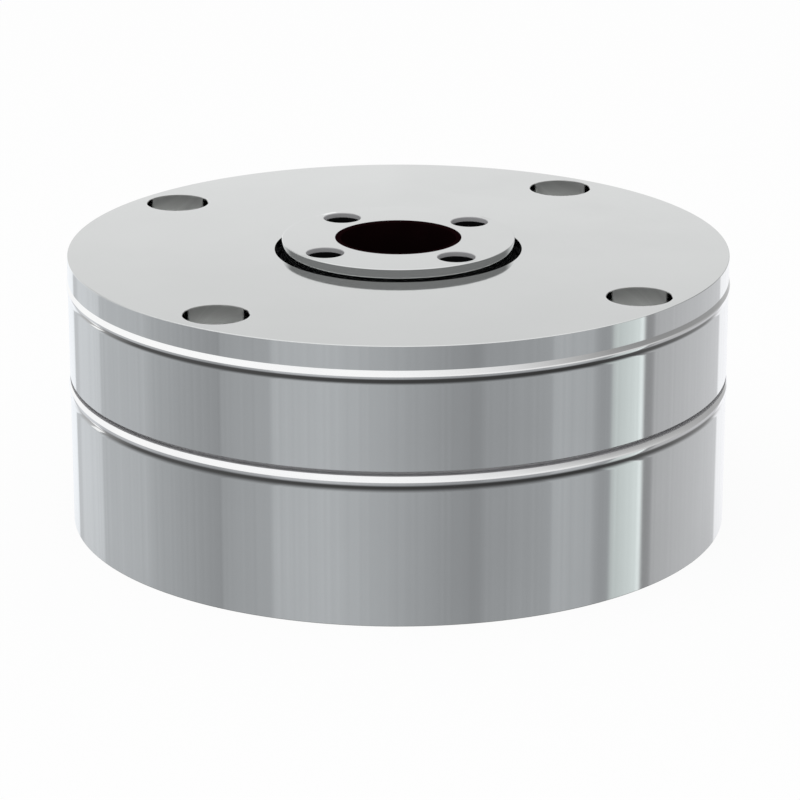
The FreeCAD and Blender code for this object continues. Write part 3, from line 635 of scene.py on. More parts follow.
# Grained finishes: colour, roughness, fineness and depth of the grain, lift of the tone in patches, and shine
GRAINED = {
    # Joint Shade is a grey painted as the shade inside the grooves and the mouths of the hub's holes
    "Joint Shade": dict(tone="joint", rough=0.6, grain=4200.0, depth=3e-6, lift=1.2, shine=0.3),
    # Thread Shade is a black painted as the shade in the hub's threaded holes and the lower part of their
    # reliefs
    "Thread Shade": dict(tone="rubber", rough=0.8, grain=4200.0, depth=6e-6, lift=1.2, shine=0.0),
    "Black Anodising": dict(tone="anodised", rough=0.5, grain=9000.0, depth=2e-6, lift=2.2, shine=0.0),
    "Seal Rubber": dict(tone="rubber", rough=0.8, grain=4200.0, depth=2e-6, lift=1.6, shine=0.03),
    "Moulded Insert": dict(tone="insert", rough=0.5, grain=4800.0, depth=5e-6, lift=1.6, shine=0.5),
    "Moulded Chip": dict(tone="chip", rough=0.55, grain=5200.0, depth=4e-6, lift=1.6, shine=0.5),
    "Amber Film": dict(tone="film", rough=0.32, grain=3000.0, depth=3e-6, lift=1.3, shine=0.5),
    "Green Laminate": dict(tone="board", rough=0.38, grain=2400.0, depth=4e-6, lift=1.4, shine=0.5),
    "Lead Sheath": dict(tone="sheath", rough=0.5, grain=2600.0, depth=5e-6, lift=1.6, shine=0.5),
}
# Fineness of the lathe's rings, of the patches of haze and of the grain, where a finish doesn't set its own
LATHE_LINES = 9000.0
PATCH_FINENESS = 55.0
GRAIN_FINENESS = 5000.0
# Noise between which haze sets in, how much of a metal's wear is haze and not streaks, and the rings' depth
HAZE_FROM = (0.38, 0.68)
HAZE_SHARE = 0.6
RING_DEPTH = 2e-6
# How far a grained finish is smoother and rougher than its roughness, and the strength of its grain
SMOOTHER = 0.06
ROUGHER = 0.08
GRAIN_STRENGTH = 0.25
# Drilled walls: lines of the drill, their strength and depth, how much of the tone is the mouth's painted
# shade and not the streaks', and the facing values between which a wall is seen more and more from the side
DRILL_LINES = 4200.0
DRILL_STRENGTH = 0.3
DRILL_DEPTH = 4e-6
MOUTH_SHADE_SHARE = 0.7
SIDE_VIEW = (0.36, 0.50)


def lathe_rings(group, given):
    """Fine rings that a lathe leaves: round a wall, and about the middle of a face."""
    split = add_node(group, "SeparateXYZ", {0: given["Vector"]}).outputs
    level = add_node(group, "CombineXYZ", {"X": split["X"], "Y": split["Y"]})
    reach = add_node(group, "VectorMath", {0: level.outputs[0]}, operation="LENGTH")
    path = maths(group, "ADD", reach.outputs["Value"], split["Z"])
    lines = maths(group, "MULTIPLY", path, given["Lines"])
    fine = add_node(group, "TexNoise", {"W": lines, "Scale": 1.0, "Detail": 3.0}, noise_dimensions="1D")
    broad = add_node(group, "TexNoise", {"W": path, "Scale": 620.0, "Detail": 2.0}, noise_dimensions="1D")
    return {"Height": fine.outputs["Fac"], "Streak": broad.outputs["Fac"]}


def wiped_patches(group, given):
    """Soft cloudy patches where a surface has been touched and wiped."""
    inputs = {"Vector": given["Vector"], "Scale": given["Patch"], "Detail": 4.0, "Roughness": 0.55}
    cloud = add_node(group, "TexNoise", inputs)
    return {"Haze": gradient(group, cloud.outputs["Fac"], *HAZE_FROM, 0.0, 1.0)}


def tiny_grain(group, given):
    """Tiny grain of moulded plastic, rubber and anodising."""
    grain = add_node(group, "TexVoronoi", {"Vector": given["Vector"], "Scale": given["Grain"]})
    cloud = add_node(group, "TexNoise", {"Vector": given["Vector"], "Scale": 240.0, "Detail": 3.0})
    return {"Height": grain.outputs["Distance"], "Shade": cloud.outputs["Fac"]}


def turning_marks(tree, place, lines=LATHE_LINES):
    """Outputs of the lathe's marks, placed in a material."""
    group = shared_group("Turning Marks", "Lines", LATHE_LINES, lathe_rings)
    return add_node(tree, "Group", {"Vector": place, "Lines": lines}, node_tree=group).outputs


def start_material(name):
    """New material, its tree, its shader and the object coordinates."""
    material = bpy.data.materials.new(name)
    material.use_nodes = True
    tree = material.node_tree
    place = add_node(tree, "TexCoord").outputs["Object"]
    return material, tree, tree.nodes["Principled BSDF"], place


def bump(tree, shader, height, strength, depth):
    """Feed the shader's normal with a bump."""
    node = add_node(tree, "Bump", {"Height": height, "Strength": strength, "Distance": depth})
    tree.links.new(node.outputs["Normal"], shader.inputs["Normal"])


def turned_metal(name, clean, hazed, rough, spread, rings):
    """Turned metal with lathe rings and faint handling haze."""
    look = bpy.context.scene.sensor_finishes
    material, tree, shader, place = start_material(name)
    shader.inputs["Metallic"].default_value = 1.0
    marks = turning_marks(tree, place)
    group = shared_group("Handling Haze", "Patch", PATCH_FINENESS, wiped_patches)
    haze = add_node(tree, "Group", {"Vector": place}, node_tree=group).outputs["Haze"]
    tone = blend(tree, haze, getattr(look, clean), getattr(look, hazed))
    wear = weighted(tree, haze, marks["Streak"], HAZE_SHARE)
    tree.links.new(tone, shader.inputs["Base Color"])
    tree.links.new(gradient(tree, wear, 0.0, 1.0, rough, rough + spread), shader.inputs["Roughness"])
    bump(tree, shader, marks["Height"], rings, RING_DEPTH)
    return material


def grained_solid(name, tone, rough, grain, depth, lift, shine):
    """Matte or moulded finish with fine grain and an uneven tone."""
    plain = getattr(bpy.context.scene.sensor_finishes, tone)
    lifted = [min(1.0, channel * lift) for channel in plain]
    material, tree, shader, place = start_material(name)
    shader.inputs["Specular IOR Level"].default_value = shine
    group = shared_group("Fine Grain", "Grain", GRAIN_FINENESS, tiny_grain)
    detail = add_node(tree, "Group", {"Vector": place, "Grain": grain}, node_tree=group).outputs
    uneven = gradient(tree, detail["Shade"], 0.0, 1.0, rough - SMOOTHER, rough + ROUGHER)
    tree.links.new(blend(tree, detail["Shade"], plain, lifted), shader.inputs["Base Color"])
    tree.links.new(uneven, shader.inputs["Roughness"])
    bump(tree, shader, detail["Height"], GRAIN_STRENGTH, depth)
    return material


def bored_steel(name):
    """Drilled steel, dull where faced, glossy where seen from the side, and darker at the mouth as painted
    shade
    """
    body, look = settings("sections", "finishes")
    material, tree, shader, place = start_material(name)
    shader.inputs["Metallic"].default_value = 1.0
    marks = turning_marks(tree, place, DRILL_LINES)
    height = add_node(tree, "SeparateXYZ", {0: place}).outputs["Z"]
    # Painted shade: the walls darken towards the cover's face, mixed with the drill's streaks
    deep = smooth_step(tree, height, body.cover_top, body.cover_top - look.mouth_shade_depth)
    mixed = weighted(tree, deep, marks["Streak"], MOUTH_SHADE_SHARE)
    side = smooth_step(tree, add_node(tree, "LayerWeight").outputs["Facing"], *SIDE_VIEW)
    gloss = gradient(tree, side, 0.0, 1.0, look.bored_rough, look.bored_gleam)
    tree.links.new(blend(tree, mixed, look.bored_mouth_shade, look.bored), shader.inputs["Base Color"])
    tree.links.new(gloss, shader.inputs["Roughness"])
    bump(tree, shader, marks["Height"], DRILL_STRENGTH, DRILL_DEPTH)
    return material


def finish(name):
    """Material by its name, made when it is first asked for."""
    if name in bpy.data.materials:
        return bpy.data.materials[name]
    if name in METALS:
        return turned_metal(name, **METALS[name])
    if name in GRAINED:
        return grained_solid(name, **GRAINED[name])
    if name == "Bored Steel":
        return bored_steel(name)
    raise ValueError(f"No finish is called {name}")


# Pieces

class SENSOR_OT_cover(bpy.types.Operator):
    """Turn the top cover, with its spigot, seal groove, opening and mounting holes"""
    bl_idname = "sensor.cover"
    bl_label = "Top cover"

    def execute(self, context):
        body, inner, hub, bolt = settings("sections", "inner", "hub", "fasteners")
        rebate = body.radius - body.rebate
        inside = inner.spigot - inner.spigot_wall
        cover = lathe("cover_plate", [
            (hub.opening, inner.collar_foot), (inner.collar, inner.collar_foot), (inner.collar, inner.plate),
            (inside, inner.plate), (inside, inner.cover_spigot), (inner.spigot, inner.cover_spigot),
            *groove(inner.spigot, inner.recess - inner.cord, inner.cover_cord, inner.cord_groove),
            (inner.spigot, body.cover_joint), (rebate, body.cover_joint), (rebate, body.upper_high),
            (body.radius, body.upper_high), (body.radius, body.cover_top, body.edge),
            (hub.opening, body.cover_top, body.edge * OPENING_ROUND),
        ], body.steps)
        dress(cover, "Polished Steel")
        below = body.cover_joint - OVERRUN
        through = broken_hole(bolt.hole, below, body.cover_top, bolt.break_edge)
        blind = plain_hole(bolt.stack, below, bolt.stack_tip)
        pinned = plain_hole(bolt.dowel, below, bolt.dowel_top)
        holes = drills(through, bolt.circle, bolt.first)
        holes += drills(blind, bolt.circle, bolt.stack_first)
        holes += drills(pinned, bolt.circle, bolt.cover_dowel, PAIR)
        carve(cover, holes, "Bored Steel")
        fit(cover, "polished_steel", "top_cover")
        return {"FINISHED"}


class SENSOR_OT_seam_rings(bpy.types.Operator):
    """Turn the two bright rings that stand a little out of the joints"""
    bl_idname = "sensor.seam_rings"
    bl_label = "Seam rings"

    def execute(self, context):
        body = context.scene.sensor_sections
        rebate = body.radius - body.rebate
        wall = body.radius - OVERRUN / 2
        crest = body.radius + body.ring_proud
        rows = (
            ("seam_ring_upper", "upper_seam_ring", body.upper_low, body.upper_crest, body.upper_top),
            ("seam_ring_lower", "lower_seam_ring", body.lower_low, body.lower_crest, body.lower_top),
        )
        for name, node, low, middle, high in rows:
            heel = (middle - low) * body.ring_heel
            flank = math.hypot(body.ring_proud, middle - low - heel)
            ring = lathe(name, [
                (rebate, low), (body.radius, low), (body.radius, low + heel, heel * HEEL_ROUND),
                (crest, middle, flank - heel), (body.radius, high), (rebate, high),
            ], body.steps)
            dress(ring, "Ring Steel")
            # The ring's faces inside the groove get the grey painted shade
            finish_zone(ring, "Joint Shade", rebate - OVERRUN, low, wall, high)
            finish_zone(ring, "Polished Steel", wall, low, crest, low + heel)
            fit(ring, "ring_steel", node)
        return {"FINISHED"}


class SENSOR_OT_flexure(bpy.types.Operator):
    """Model the one-piece flexure: outer band, leaf springs, cross beams and raised hub"""
    bl_idname = "sensor.flexure"
    bl_label = "Flexure body"

    def blank(self, body, hub, beam):
        """Turned blank before the cross is milled."""
        rebate = body.radius - body.rebate
        recess = bpy.context.scene.sensor_inner.recess
        blank = lathe("spring_body", [
            (hub.liner, hub.foot), (hub.foot_radius, hub.foot), (hub.foot_radius, beam.low),
            (recess, beam.low), (recess, body.base_joint), (rebate, body.base_joint),
            (rebate, body.lower_high), (body.radius, body.lower_high, body.edge),
            (body.radius, body.upper_low), (rebate, body.upper_low), (rebate, body.cover_joint),
            (recess, body.cover_joint), (recess, beam.high), (hub.radius, beam.high),
            (hub.radius, hub.top, body.edge), (hub.liner, hub.top),
        ], body.steps)
        dress(blank, "Polished Steel")
        # The faces inside the lower groove get the grey painted shade
        finish_zone(blank, "Joint Shade", recess + OVERRUN, body.base_joint, body.radius - OVERRUN,
                    body.lower_high)
        return blank

    def cutters(self, beam, name, outline, rounds=(), radius=0.0):
        """Tools that cut right through the beams' web, one in each quarter."""
        cutter = prism(name, outline, beam.low - OVERRUN, beam.high + OVERRUN, rounds, radius)
        return repeated(cutter, QUARTERS)

    def windows(self, beam):
        """Rounded openings between the beams."""
        near_steps = 10
        far_steps = 24
        half = beam.width / 2
        near_edge = math.asin(half / beam.root)
        far_edge = math.asin(half / beam.window)
        quarter = math.pi / 2
        outline = arc(beam.root, near_edge, quarter - near_edge, near_steps)
        outline += arc(beam.window, quarter - far_edge, far_edge, far_steps)
        corners = (0, near_steps, near_steps + 1, near_steps + far_steps + 1)
        return self.cutters(beam, "window", outline, corners, beam.window_round)

    def slots(self, beam):
        """Curved slots that leave the leaf springs free."""
        steps = 20
        near = beam.window + beam.leaf
        far = near + beam.slot
        end = beam.slot_half + math.asin(beam.slot / (near + far))
        outline = arc(near, -end, end, steps) + arc(far, end, -end, steps)
        corners = (0, steps, steps + 1, 2 * steps + 1)
        return self.cutters(beam, "slot", outline, corners, beam.slot * SLOT_ROUND)

    def neck_outline(self, beam, surface, depth, outward):
        """Shallow cut along a beam with quarter-round ends; outward is the open side of the surface."""
        steps = 6
        bends = [math.pi / 2 * step / steps for step in range(steps + 1)]
        outside = surface + outward * OVERRUN
        outline = [(beam.neck_from - depth, outside)]
        outline += [(beam.neck_from - depth * math.cos(bend), surface - outward * depth * math.sin(bend))
                    for bend in bends]
        outline += [(beam.neck_to + depth * math.sin(bend), surface - outward * depth * math.cos(bend))
                    for bend in bends]
        return outline + [(beam.neck_to + depth, outside)]

    def side_necks(self, beam):
        """Cuts that thin the beams from both sides where the gauges sit."""
        tools = []
        for side in (-1, 1):
            outline = self.neck_outline(beam, side * beam.width / 2, beam.neck_side, side)
            tools += self.cutters(beam, "neck", outline)
        return tools

    def face_necks(self, beam):
        """Cuts that thin the beams from above and below."""
        reach = beam.width / 2 + OVERRUN
        tools = []
        for surface, outward in ((beam.high, 1), (beam.low, -1)):
            outline = self.neck_outline(beam, surface, beam.neck_face, outward)
            tools += repeated(prism("neck", outline, -reach, reach, axis="Y"), QUARTERS)
        return tools

    def reliefs(self, hub, bevel):
        """Tools for the mouths of the threaded holes, grey painted shade above and black painted shade below.
        """
        floor = hub.top - hub.relief_depth
        matte_end = hub.top - hub.relief_matte
        corners = broken_hole(hub.relief, floor, hub.top, bevel)
        corners.insert(2, (hub.relief, matte_end))
        tool = lathe("drill", corners, DRILL_STEPS, (*on_circle(hub.circle, hub.first), 0.0))
        # Painted shade: grey on the relief's upper wall, black on its lower wall and floor
        dress(tool, "Joint Shade")
        finish_zone(tool, "Thread Shade", 0.0, floor, hub.radius, matte_end)
        return repeated(tool, QUARTERS)

    def execute(self, context):
        body, hub, bolt, beam = settings("sections", "hub", "fasteners", "beams")
        spring = self.blank(body, hub, beam)
        carve(spring, self.windows(beam) + self.slots(beam))
        carve(spring, self.side_necks(beam))
        carve(spring, self.face_necks(beam))
        low = body.base_joint - OVERRUN
        high = body.cover_joint + OVERRUN
        lower = plain_hole(bolt.dowel, low, body.base_joint + bolt.dowel_half)
        upper = plain_hole(bolt.dowel, body.cover_joint - bolt.dowel_half, high)
        holes = drills(plain_hole(bolt.hole, low, high), bolt.circle, bolt.first)
        holes += drills(plain_hole(bolt.stack_clear, low, high), bolt.circle, bolt.stack_first)
        holes += drills(lower, bolt.circle, bolt.base_dowel, PAIR)
        holes += drills(upper, bolt.circle, bolt.cover_dowel, PAIR)
        carve(spring, holes, "Bored Steel")
        thread = plain_hole(hub.thread, hub.top - hub.depth, hub.top - hub.relief_depth + OVERRUN)
        # The threaded holes are lined with the black painted shade
        carve(spring, drills(thread, hub.circle, hub.first), "Thread Shade")
        carve(spring, self.reliefs(hub, bolt.break_edge))
        fit(spring, "polished_steel", "flexure_body")
        return {"FINISHED"}


class SENSOR_OT_base(bpy.types.Operator):
    """Turn the base, bore its chamber and mill the connector's seat"""
    bl_idname = "sensor.base"
    bl_label = "Base housing"

    def execute(self, context):
        body, inner, bolt, plug = settings("sections", "inner", "fasteners", "connector")
        rebate = body.radius - body.rebate
        inside = inner.spigot - inner.spigot_wall
        base = lathe("base_shell", [
            (inner.bottom_recess, 0.0), (body.radius, 0.0, body.edge), (body.radius, body.lower_low),
            (rebate, body.lower_low), (rebate, body.base_joint), (inner.spigot, body.base_joint),
            *groove(inner.spigot, inner.recess - inner.cord, inner.base_cord, inner.cord_groove),
            (inner.spigot, inner.base_spigot), (inside, inner.base_spigot), (inside, inner.taper_high),
            (inner.chamber, inner.taper_low), (inner.chamber, inner.ledge),
            (inner.bottom_recess, inner.ledge),
        ], body.steps)
        dress(base, "Polished Steel")
        # The faces inside the lower groove get the grey painted shade
        finish_zone(base, "Joint Shade", inner.spigot + OVERRUN, body.lower_low, body.radius - OVERRUN / 2,
                    body.base_joint)
        high = body.base_joint + OVERRUN
        stepped = [(0.0, -OVERRUN), (bolt.stack_bore, -OVERRUN), (bolt.stack_bore, bolt.stack_seat),
                   (bolt.stack_clear, bolt.stack_seat), (bolt.stack_clear, high), (0.0, high)]
        tapped = plain_hole(bolt.screw, inner.ledge - OVERRUN, bolt.screw_tip)
        pinned = plain_hole(bolt.dowel, body.base_joint - bolt.dowel_half, high)
        holes = drills(plain_hole(bolt.hole, -OVERRUN, high), bolt.circle, bolt.first)
        holes += drills(stepped, bolt.circle, bolt.stack_first)
        holes += drills(tapped, bolt.screw_circle, 0.0, bolt.screw_count)
        holes += drills(pinned, bolt.circle, bolt.base_dowel, PAIR)
        carve(base, holes, "Bored Steel")
        start = inner.chamber - plug.passage
        end = body.radius + body.rebate
        port = lathe_plug(plug, "port", [
            (0.0, start), (plug.passage, start), (plug.passage, plug.rear), (plug.rear_radius, plug.rear),
            (plug.rear_radius, plug.flat), (plug.flat_radius, plug.flat), (plug.flat_radius, end), (0.0, end),
        ], BARREL_STEPS)
        carve(base, [port], "Screw Steel")
        fit(base, "polished_steel", "base_housing")
        return {"FINISHED"}


class SENSOR_OT_bottom(bpy.types.Operator):
    """Turn the bottom cover and set its countersunk screws and the stack screws"""
    bl_idname = "sensor.bottom"
    bl_label = "Bottom cover and screws"

    def screw_section(self, bolt):
        """Section of a countersunk screw."""
        cone_top = bolt.cover_face + bolt.screw_head - bolt.screw
        return [(0.0, bolt.cover_face), (bolt.screw_head, bolt.cover_face), (bolt.screw, cone_top),
                (bolt.screw, bolt.screw_tip), (0.0, bolt.screw_tip)]

    def cover(self, bolt, body):
        """Recessed plate with seal grooves, screw seats and standoff holes."""
        inner, hub = settings("inner", "hub")
        middle = (bolt.cover_face + inner.ledge) / 2
        rim_groove = groove(bolt.cover_radius, inner.bottom_recess - inner.cord, middle, inner.cord_groove)
        liner_groove = groove(bolt.passage, hub.liner + inner.liner_cord, middle, inner.liner_groove)
        plate = lathe("bottom_lid", [
            (bolt.passage, bolt.cover_face), (bolt.cover_radius, bolt.cover_face, body.edge), *rim_groove,
            (bolt.cover_radius, inner.ledge), (bolt.passage, inner.ledge), *reversed(liner_groove),
        ], body.steps)
        dress(plate, "Polished Steel")
        below = bolt.cover_face - OVERRUN
        seat = [(0.0, below), (bolt.screw_head, below)] + self.screw_section(bolt)[1:]
        hole = plain_hole(bolt.peg, bolt.peg_foot, inner.ledge + OVERRUN)
        tools = drills(seat, bolt.screw_circle, 0.0, bolt.screw_count)
        tools += drills(hole, bolt.peg_circle, bolt.first)
        carve(plate, tools, "Bored Steel")
        fit(plate, "polished_steel", "bottom_cover")

    def keyed_screw(self, name, corners, place, half_width, depth):
        """One screw with a hexagon socket in its head."""
        centre = (*place, 0.0)
        screw = lathe(name, corners, SCREW_STEPS, centre)
        dress(screw, "Screw Steel")
        low = corners[0][1]
        carve(screw, [prism("key", hexagon(half_width), low - OVERRUN, low + depth, centre=centre)])
        return screw

    def screws(self, bolt, edge):
        """Countersunk screws of the bottom cover and cap screws that hold the stack."""
        place = on_circle(bolt.screw_circle, 0.0)
        screw = self.keyed_screw("countersunk_screws", self.screw_section(bolt), place, bolt.screw_socket,
                                 bolt.screw_socket_depth)
        fit(joined(repeated(screw, bolt.screw_count)), "fastener_steel", "bottom_screws")
        low = bolt.stack_seat - bolt.stack_head_height
        corners = [(0.0, low), (bolt.stack_head, low, 2 * edge), (bolt.stack_head, bolt.stack_seat),
                   (bolt.stack, bolt.stack_seat), (bolt.stack, bolt.stack_tip), (0.0, bolt.stack_tip)]
        place = on_circle(bolt.circle, bolt.stack_first)
        screw = self.keyed_screw("stack_bolts", corners, place, bolt.stack_socket, bolt.stack_socket_depth)
        fit(joined(repeated(screw, QUARTERS)), "fastener_steel", "stack_screws")

    def execute(self, context):
        bolt, body = settings("fasteners", "sections")
        self.cover(bolt, body)
        self.screws(bolt, body.edge)
        return {"FINISHED"}


class SENSOR_OT_liner(bpy.types.Operator):
    """Turn the black lining of the hub's bore and the soft seal round the hub"""
    bl_idname = "sensor.liner"
    bl_label = "Bore lining and hub seal"

    def execute(self, context):
        hub, body = settings("hub", "sections")
        sleeve = lathe("bore_sleeve", [
            (hub.bore, hub.liner_foot), (hub.liner, hub.liner_foot), (hub.liner, hub.top),
            (hub.bore, hub.top, 2 * body.edge),
        ], SLEEVE_STEPS)
        dress(sleeve, "Black Anodising")
        fit(sleeve, "black_anodised", "bore_liner")
        floor = hub.seal_foot + hub.seal_web
        outer_lip = hub.opening - hub.seal_wall
        inner_lip = hub.radius + hub.seal_wall
        seal = lathe("hub_seal", [
            (hub.radius, hub.seal_foot), (hub.opening, hub.seal_foot), (hub.opening, hub.seal_top),
            (outer_lip, hub.seal_top, body.edge), (outer_lip, floor), (inner_lip, floor),
            (inner_lip, hub.seal_top, body.edge), (hub.radius, hub.seal_top),
        ], SEAL_STEPS)
        dress(seal, "Seal Rubber")
        fit(seal, "seal_rubber", "gap_seal")
        return {"FINISHED"}


class SENSOR_OT_connector(bpy.types.Operator):
    """Model the connector at the back: shell, thread, contact carrier and contacts"""
    bl_idname = "sensor.connector"
    bl_label = "Connector"

    def shell(self, plug, edge):
        """Hexagon, neck and barrel with a bore for the carrier."""
        hex_end = plug.flat + plug.hex_length
        front = hex_end + plug.front_length
        core = plug.neck_radius
        middle = plug.flat + plug.hex_length / 2
        barrel = lathe_plug(plug, "socket_shell", [
            (0.0, plug.rear), (plug.rear_radius, plug.rear), (plug.rear_radius, middle), (core, middle),
            (core, front), (0.0, front),
        ], BARREL_STEPS)
        low = plug.flat - OVERRUN
        high = hex_end + OVERRUN
        reach = plug.hex_half + plug.hex_length + OVERRUN
        block = prism("wrench_hexagon", hexagon(plug.hex_half), plug.flat, hex_end, axis="Y",
                      centre=(0.0, 0.0, plug.height))
        cone = lathe_plug(plug, "turned_corners", [
            (0.0, low), (reach, low), (plug.hex_half - OVERRUN, high), (0.0, high),
        ], BARREL_STEPS)
        carve(block, [cone], operation="INTERSECT")
        recess = plain_hole(plug.groove, low, plug.flat + plug.groove_depth)
        carve(block, [lathe_plug(plug, "groove", recess, BORE_STEPS)])
        carve(barrel, [block], operation="UNION")
        dress(barrel, "Nickel Plate")
        low = plug.rear - OVERRUN
        high = front + OVERRUN
        bore = lathe_plug(plug, "bore", [
            (0.0, low), (plug.rear_bore, low), (plug.rear_bore, plug.insert_rear),
            (plug.insert, plug.insert_rear), (plug.insert, front - edge),
            (plug.insert + edge + OVERRUN, high), (0.0, high),
        ], BORE_STEPS)
        carve(barrel, [bore])
        fit(barrel, "nickel_brass", "connector_shell")
        self.thread(plug, hex_end + plug.neck_length, front)

    def thread(self, plug, start, end):
        """One helical ridge for the front thread."""
        foot = plug.pitch * RIDGE_FOOT
        crest = plug.pitch * RIDGE_CREST
        core = plug.neck_radius - plug.pitch * RIDGE_SINK
        top = plug.front_radius
        section = ((core, -foot), (core, foot), (top, crest), (top, -crest))
        ridge = draw_outline("front_thread", [Vector((radius, 0.0, height)) for radius, height in section])
        drop_face()
        turns = int((end - start) / plug.pitch) - 1
        modify(ridge, "SCREW", axis="Z", angle=math.tau, screw_offset=plug.pitch, iterations=turns,
               steps=THREAD_STEPS, render_steps=THREAD_STEPS, use_merge_vertices=False)
        bpy.ops.object.mode_set(mode="EDIT")
        bpy.ops.mesh.select_all(action="SELECT")
        bpy.ops.mesh.select_non_manifold()
        bpy.ops.mesh.edge_face_add()
        close_shell()
        ridge.rotation_euler = (-math.pi / 2, 0.0, 0.0)
        ridge.location = (0.0, start + plug.pitch * RIDGE_START, plug.height)
        pick(ridge)
        bpy.ops.object.transform_apply(location=True, rotation=True, scale=True)
        dress(ridge, "Nickel Plate")
        fit(ridge, "nickel_brass")

    def contacts(self, plug):
        """Round-nosed contact pins: one in the middle and a ring of others."""
        corners = [(0.0, plug.pin_rear), (plug.pin, plug.pin_rear),
                   (plug.pin, plug.pin_front, plug.pin * NOSE_ROUND), (0.0, plug.pin_front)]
        pins = []
        for reach, count in ((0.0, 1), (plug.pin_circle, plug.pin_count)):
            pin = lathe("contact", corners, PIN_STEPS, (0.0, 0.0, plug.height + reach), "Y")
            pins += repeated(pin, count, "Y", (0.0, 0.0, plug.height))
        return joined(pins)

    def carrier(self, plug):
        """Moulded carrier with a key groove."""
        block = lathe_plug(plug, "contact_carrier", [
            (0.0, plug.insert_rear), (plug.insert, plug.insert_rear),
            (plug.insert, plug.insert_front, plug.key * CARRIER_ROUND), (0.0, plug.insert_front),
        ], BORE_STEPS)
        dress(block, "Moulded Insert")
        half = plug.key / 2
        low = -plug.insert - half
        high = -plug.insert + plug.key
        outline = [(-half, low), (half, low), (half, high), (-half, high)]
        start = plug.flat + plug.hex_length
        key = prism("key", outline, start, plug.insert_front + half, axis="Y", centre=(0.0, 0.0, plug.height))
        carve(block, [key])
        carve(block, [self.contacts(plug)])
        fit(block, "insert_plastic", "connector_insert")

    def execute(self, context):
        plug, body = settings("connector", "sections")
        self.shell(plug, body.edge)
        self.carrier(plug)
        pins = self.contacts(plug)
        pins.name = "contact_pins"
        dress(pins, "Gold Plate")
        fit(pins, "contact_gold", "connector_pins")
        return {"FINISHED"}


class SENSOR_OT_inner_pieces(bpy.types.Operator):
    """Give the pieces inside the sensor their finishes"""
    bl_idname = "sensor.inner_pieces"
    bl_label = "Inner pieces"

    def execute(self, context):
        finishes = {
            "Seal Rubber": ("cover_o_ring", "base_o_ring", "bottom_o_ring", "liner_o_ring",
                            "connector_o_ring"),
            "Screw Steel": ("dowel_pins", "board_screws"),
            "Amber Film": ("x_force_gauges", "y_force_gauges", "z_force_gauges", "flex_leads"),
            "Solder Copper": ("terminal_pads",),
            "Green Laminate": ("circuit_board",),
            "Moulded Chip": ("amplifier_chips",),
            "Nickel Plate": ("board_standoffs",),
            "Lead Sheath": ("connector_lead",),
        }
        for name, nodes in finishes.items():
            for node in nodes:
                dress(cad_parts[node], name)
        return {"FINISHED"}


# Stage

# Floor, lamp and view limits in metres, and the width of the camera's film in millimetres
FLOOR_SIZE = 6.0
LAMP_PLACE = (-0.25, -0.2, 0.9)
LAMP_AIM = (0.0, 0.0, 0.02)
LAMP_SIZE = 0.8
VIEW_START = 0.01
VIEW_END = 20.0
FILM_WIDTH = 36.0
# Degrees of half a turn, of half the soft edge between two panels, and of the bright strip among the panels,
# counted from the camera's side
HALF_TURN = 180.0
PANEL_SOFT = 1.0
STRIP_START = 78.3
STRIP_END = 93.3
# Panels of the studio that upright walls mirror, from the left round to the right, as start and end in
# degrees from the camera's side and the brightness at both edges
WALL_PANELS = (
    (-180.0, -154.0, 1.0, 1.0),
    (-154.0, -147.0, 0.57, 0.62),
    (-147.0, -126.0, 0.70, 0.65),
    (-126.0, -96.0, 0.52, 0.48),
    (-96.0, -64.0, 0.44, 0.32),
    (-63.0, -45.0, 0.37, 0.40),
    (-44.0, -24.0, 0.48, 0.5),
    (-24.0, 28.0, 0.5, 0.29),
    (28.5, 52.0, 0.34, 0.37),
    (54.0, 70.0, 0.46, 0.43),
    (71.0, 77.5, 0.36, 0.33),
    (STRIP_START, 91.2, 0.59, 0.79),
    (91.2, STRIP_END, 0.95, 1.0),
    (STRIP_END, 98.0, 0.26, 0.33),
    (98.5, 148.0, 0.46, 0.65),
    (149.0, 180.0, 1.0, 1.0),
)
# Fine upright lines in the panels: the noise from and to, and the level that it gives there
SLATS = (0.3, 0.7, 0.93, 1.07)
# Softer parts of the studio as stops of angle and brightness: the horizon and the far floor, which the seam
# rings' upper flanks and crests mirror, and the near floor for their lower flanks
HORIZON = (
    (-180, 1.0), (-20, 1.0), (5, 0.95), (36, 0.75), (59, 0.48), (75, 0.32), (92, 0.27), (112, 0.28),
    (132, 0.33), (150, 0.42), (180, 0.7),
)
FAR_FLOOR = (
    (-180, 1.0), (-10, 1.0), (25, 0.92), (59, 0.82), (75, 0.7), (92, 0.62), (114, 0.46), (132, 0.4),
    (155, 0.5), (180, 0.9),
)
NEAR_FLOOR = (
    (-180, 0.2), (-165, 0.2), (-152, 0.4), (-143, 0.45), (-130, 0.22), (-113, 0.08), (-79, 0.07), (0, 0.05),
    (75, 0.04), (94, 0.06), (117, 0.11), (137, 0.2), (151, 0.26), (167, 0.35), (180, 0.5),
)
# Height in degrees of the rays that upright walls mirror; the lift of a ray above it is stretched towards the
# sides, and no further than this spread
WALL_HEIGHT = -17.0
LEAST_SPREAD = 0.34
# Heights between which the near floor takes over from what lies underneath, and lifts between which the
# walls' panels, the far floor and the horizon follow
NEAR_FROM = (-66.0, -58.0)
WALLS_FROM = (-25.0, -6.0)
FAR_FROM = (3.5, 8.0)
HORIZON_FROM = (20.0, 25.0)
# Small lamp for a glint on the seam rings: its sides, its lower and upper end, and how soft these are
GLINT_SIDES = (-139.0, -133.0, 1.5)
GLINT_ENDS = (-26.0, -15.0, 2.0)
# Upper half of the studio: heights between which it starts, heights between which its front turns white, its
# back as start and end with the level at both, and depths between which the back takes over from the front
UPPER_FROM = (11.5, 15.0)
FRONT_RISE = (24.0, 40.0)
BACK_FADE = (14.7, 17.6, 0.79, 0.67)
BACK_FROM = (0.62, 0.93)


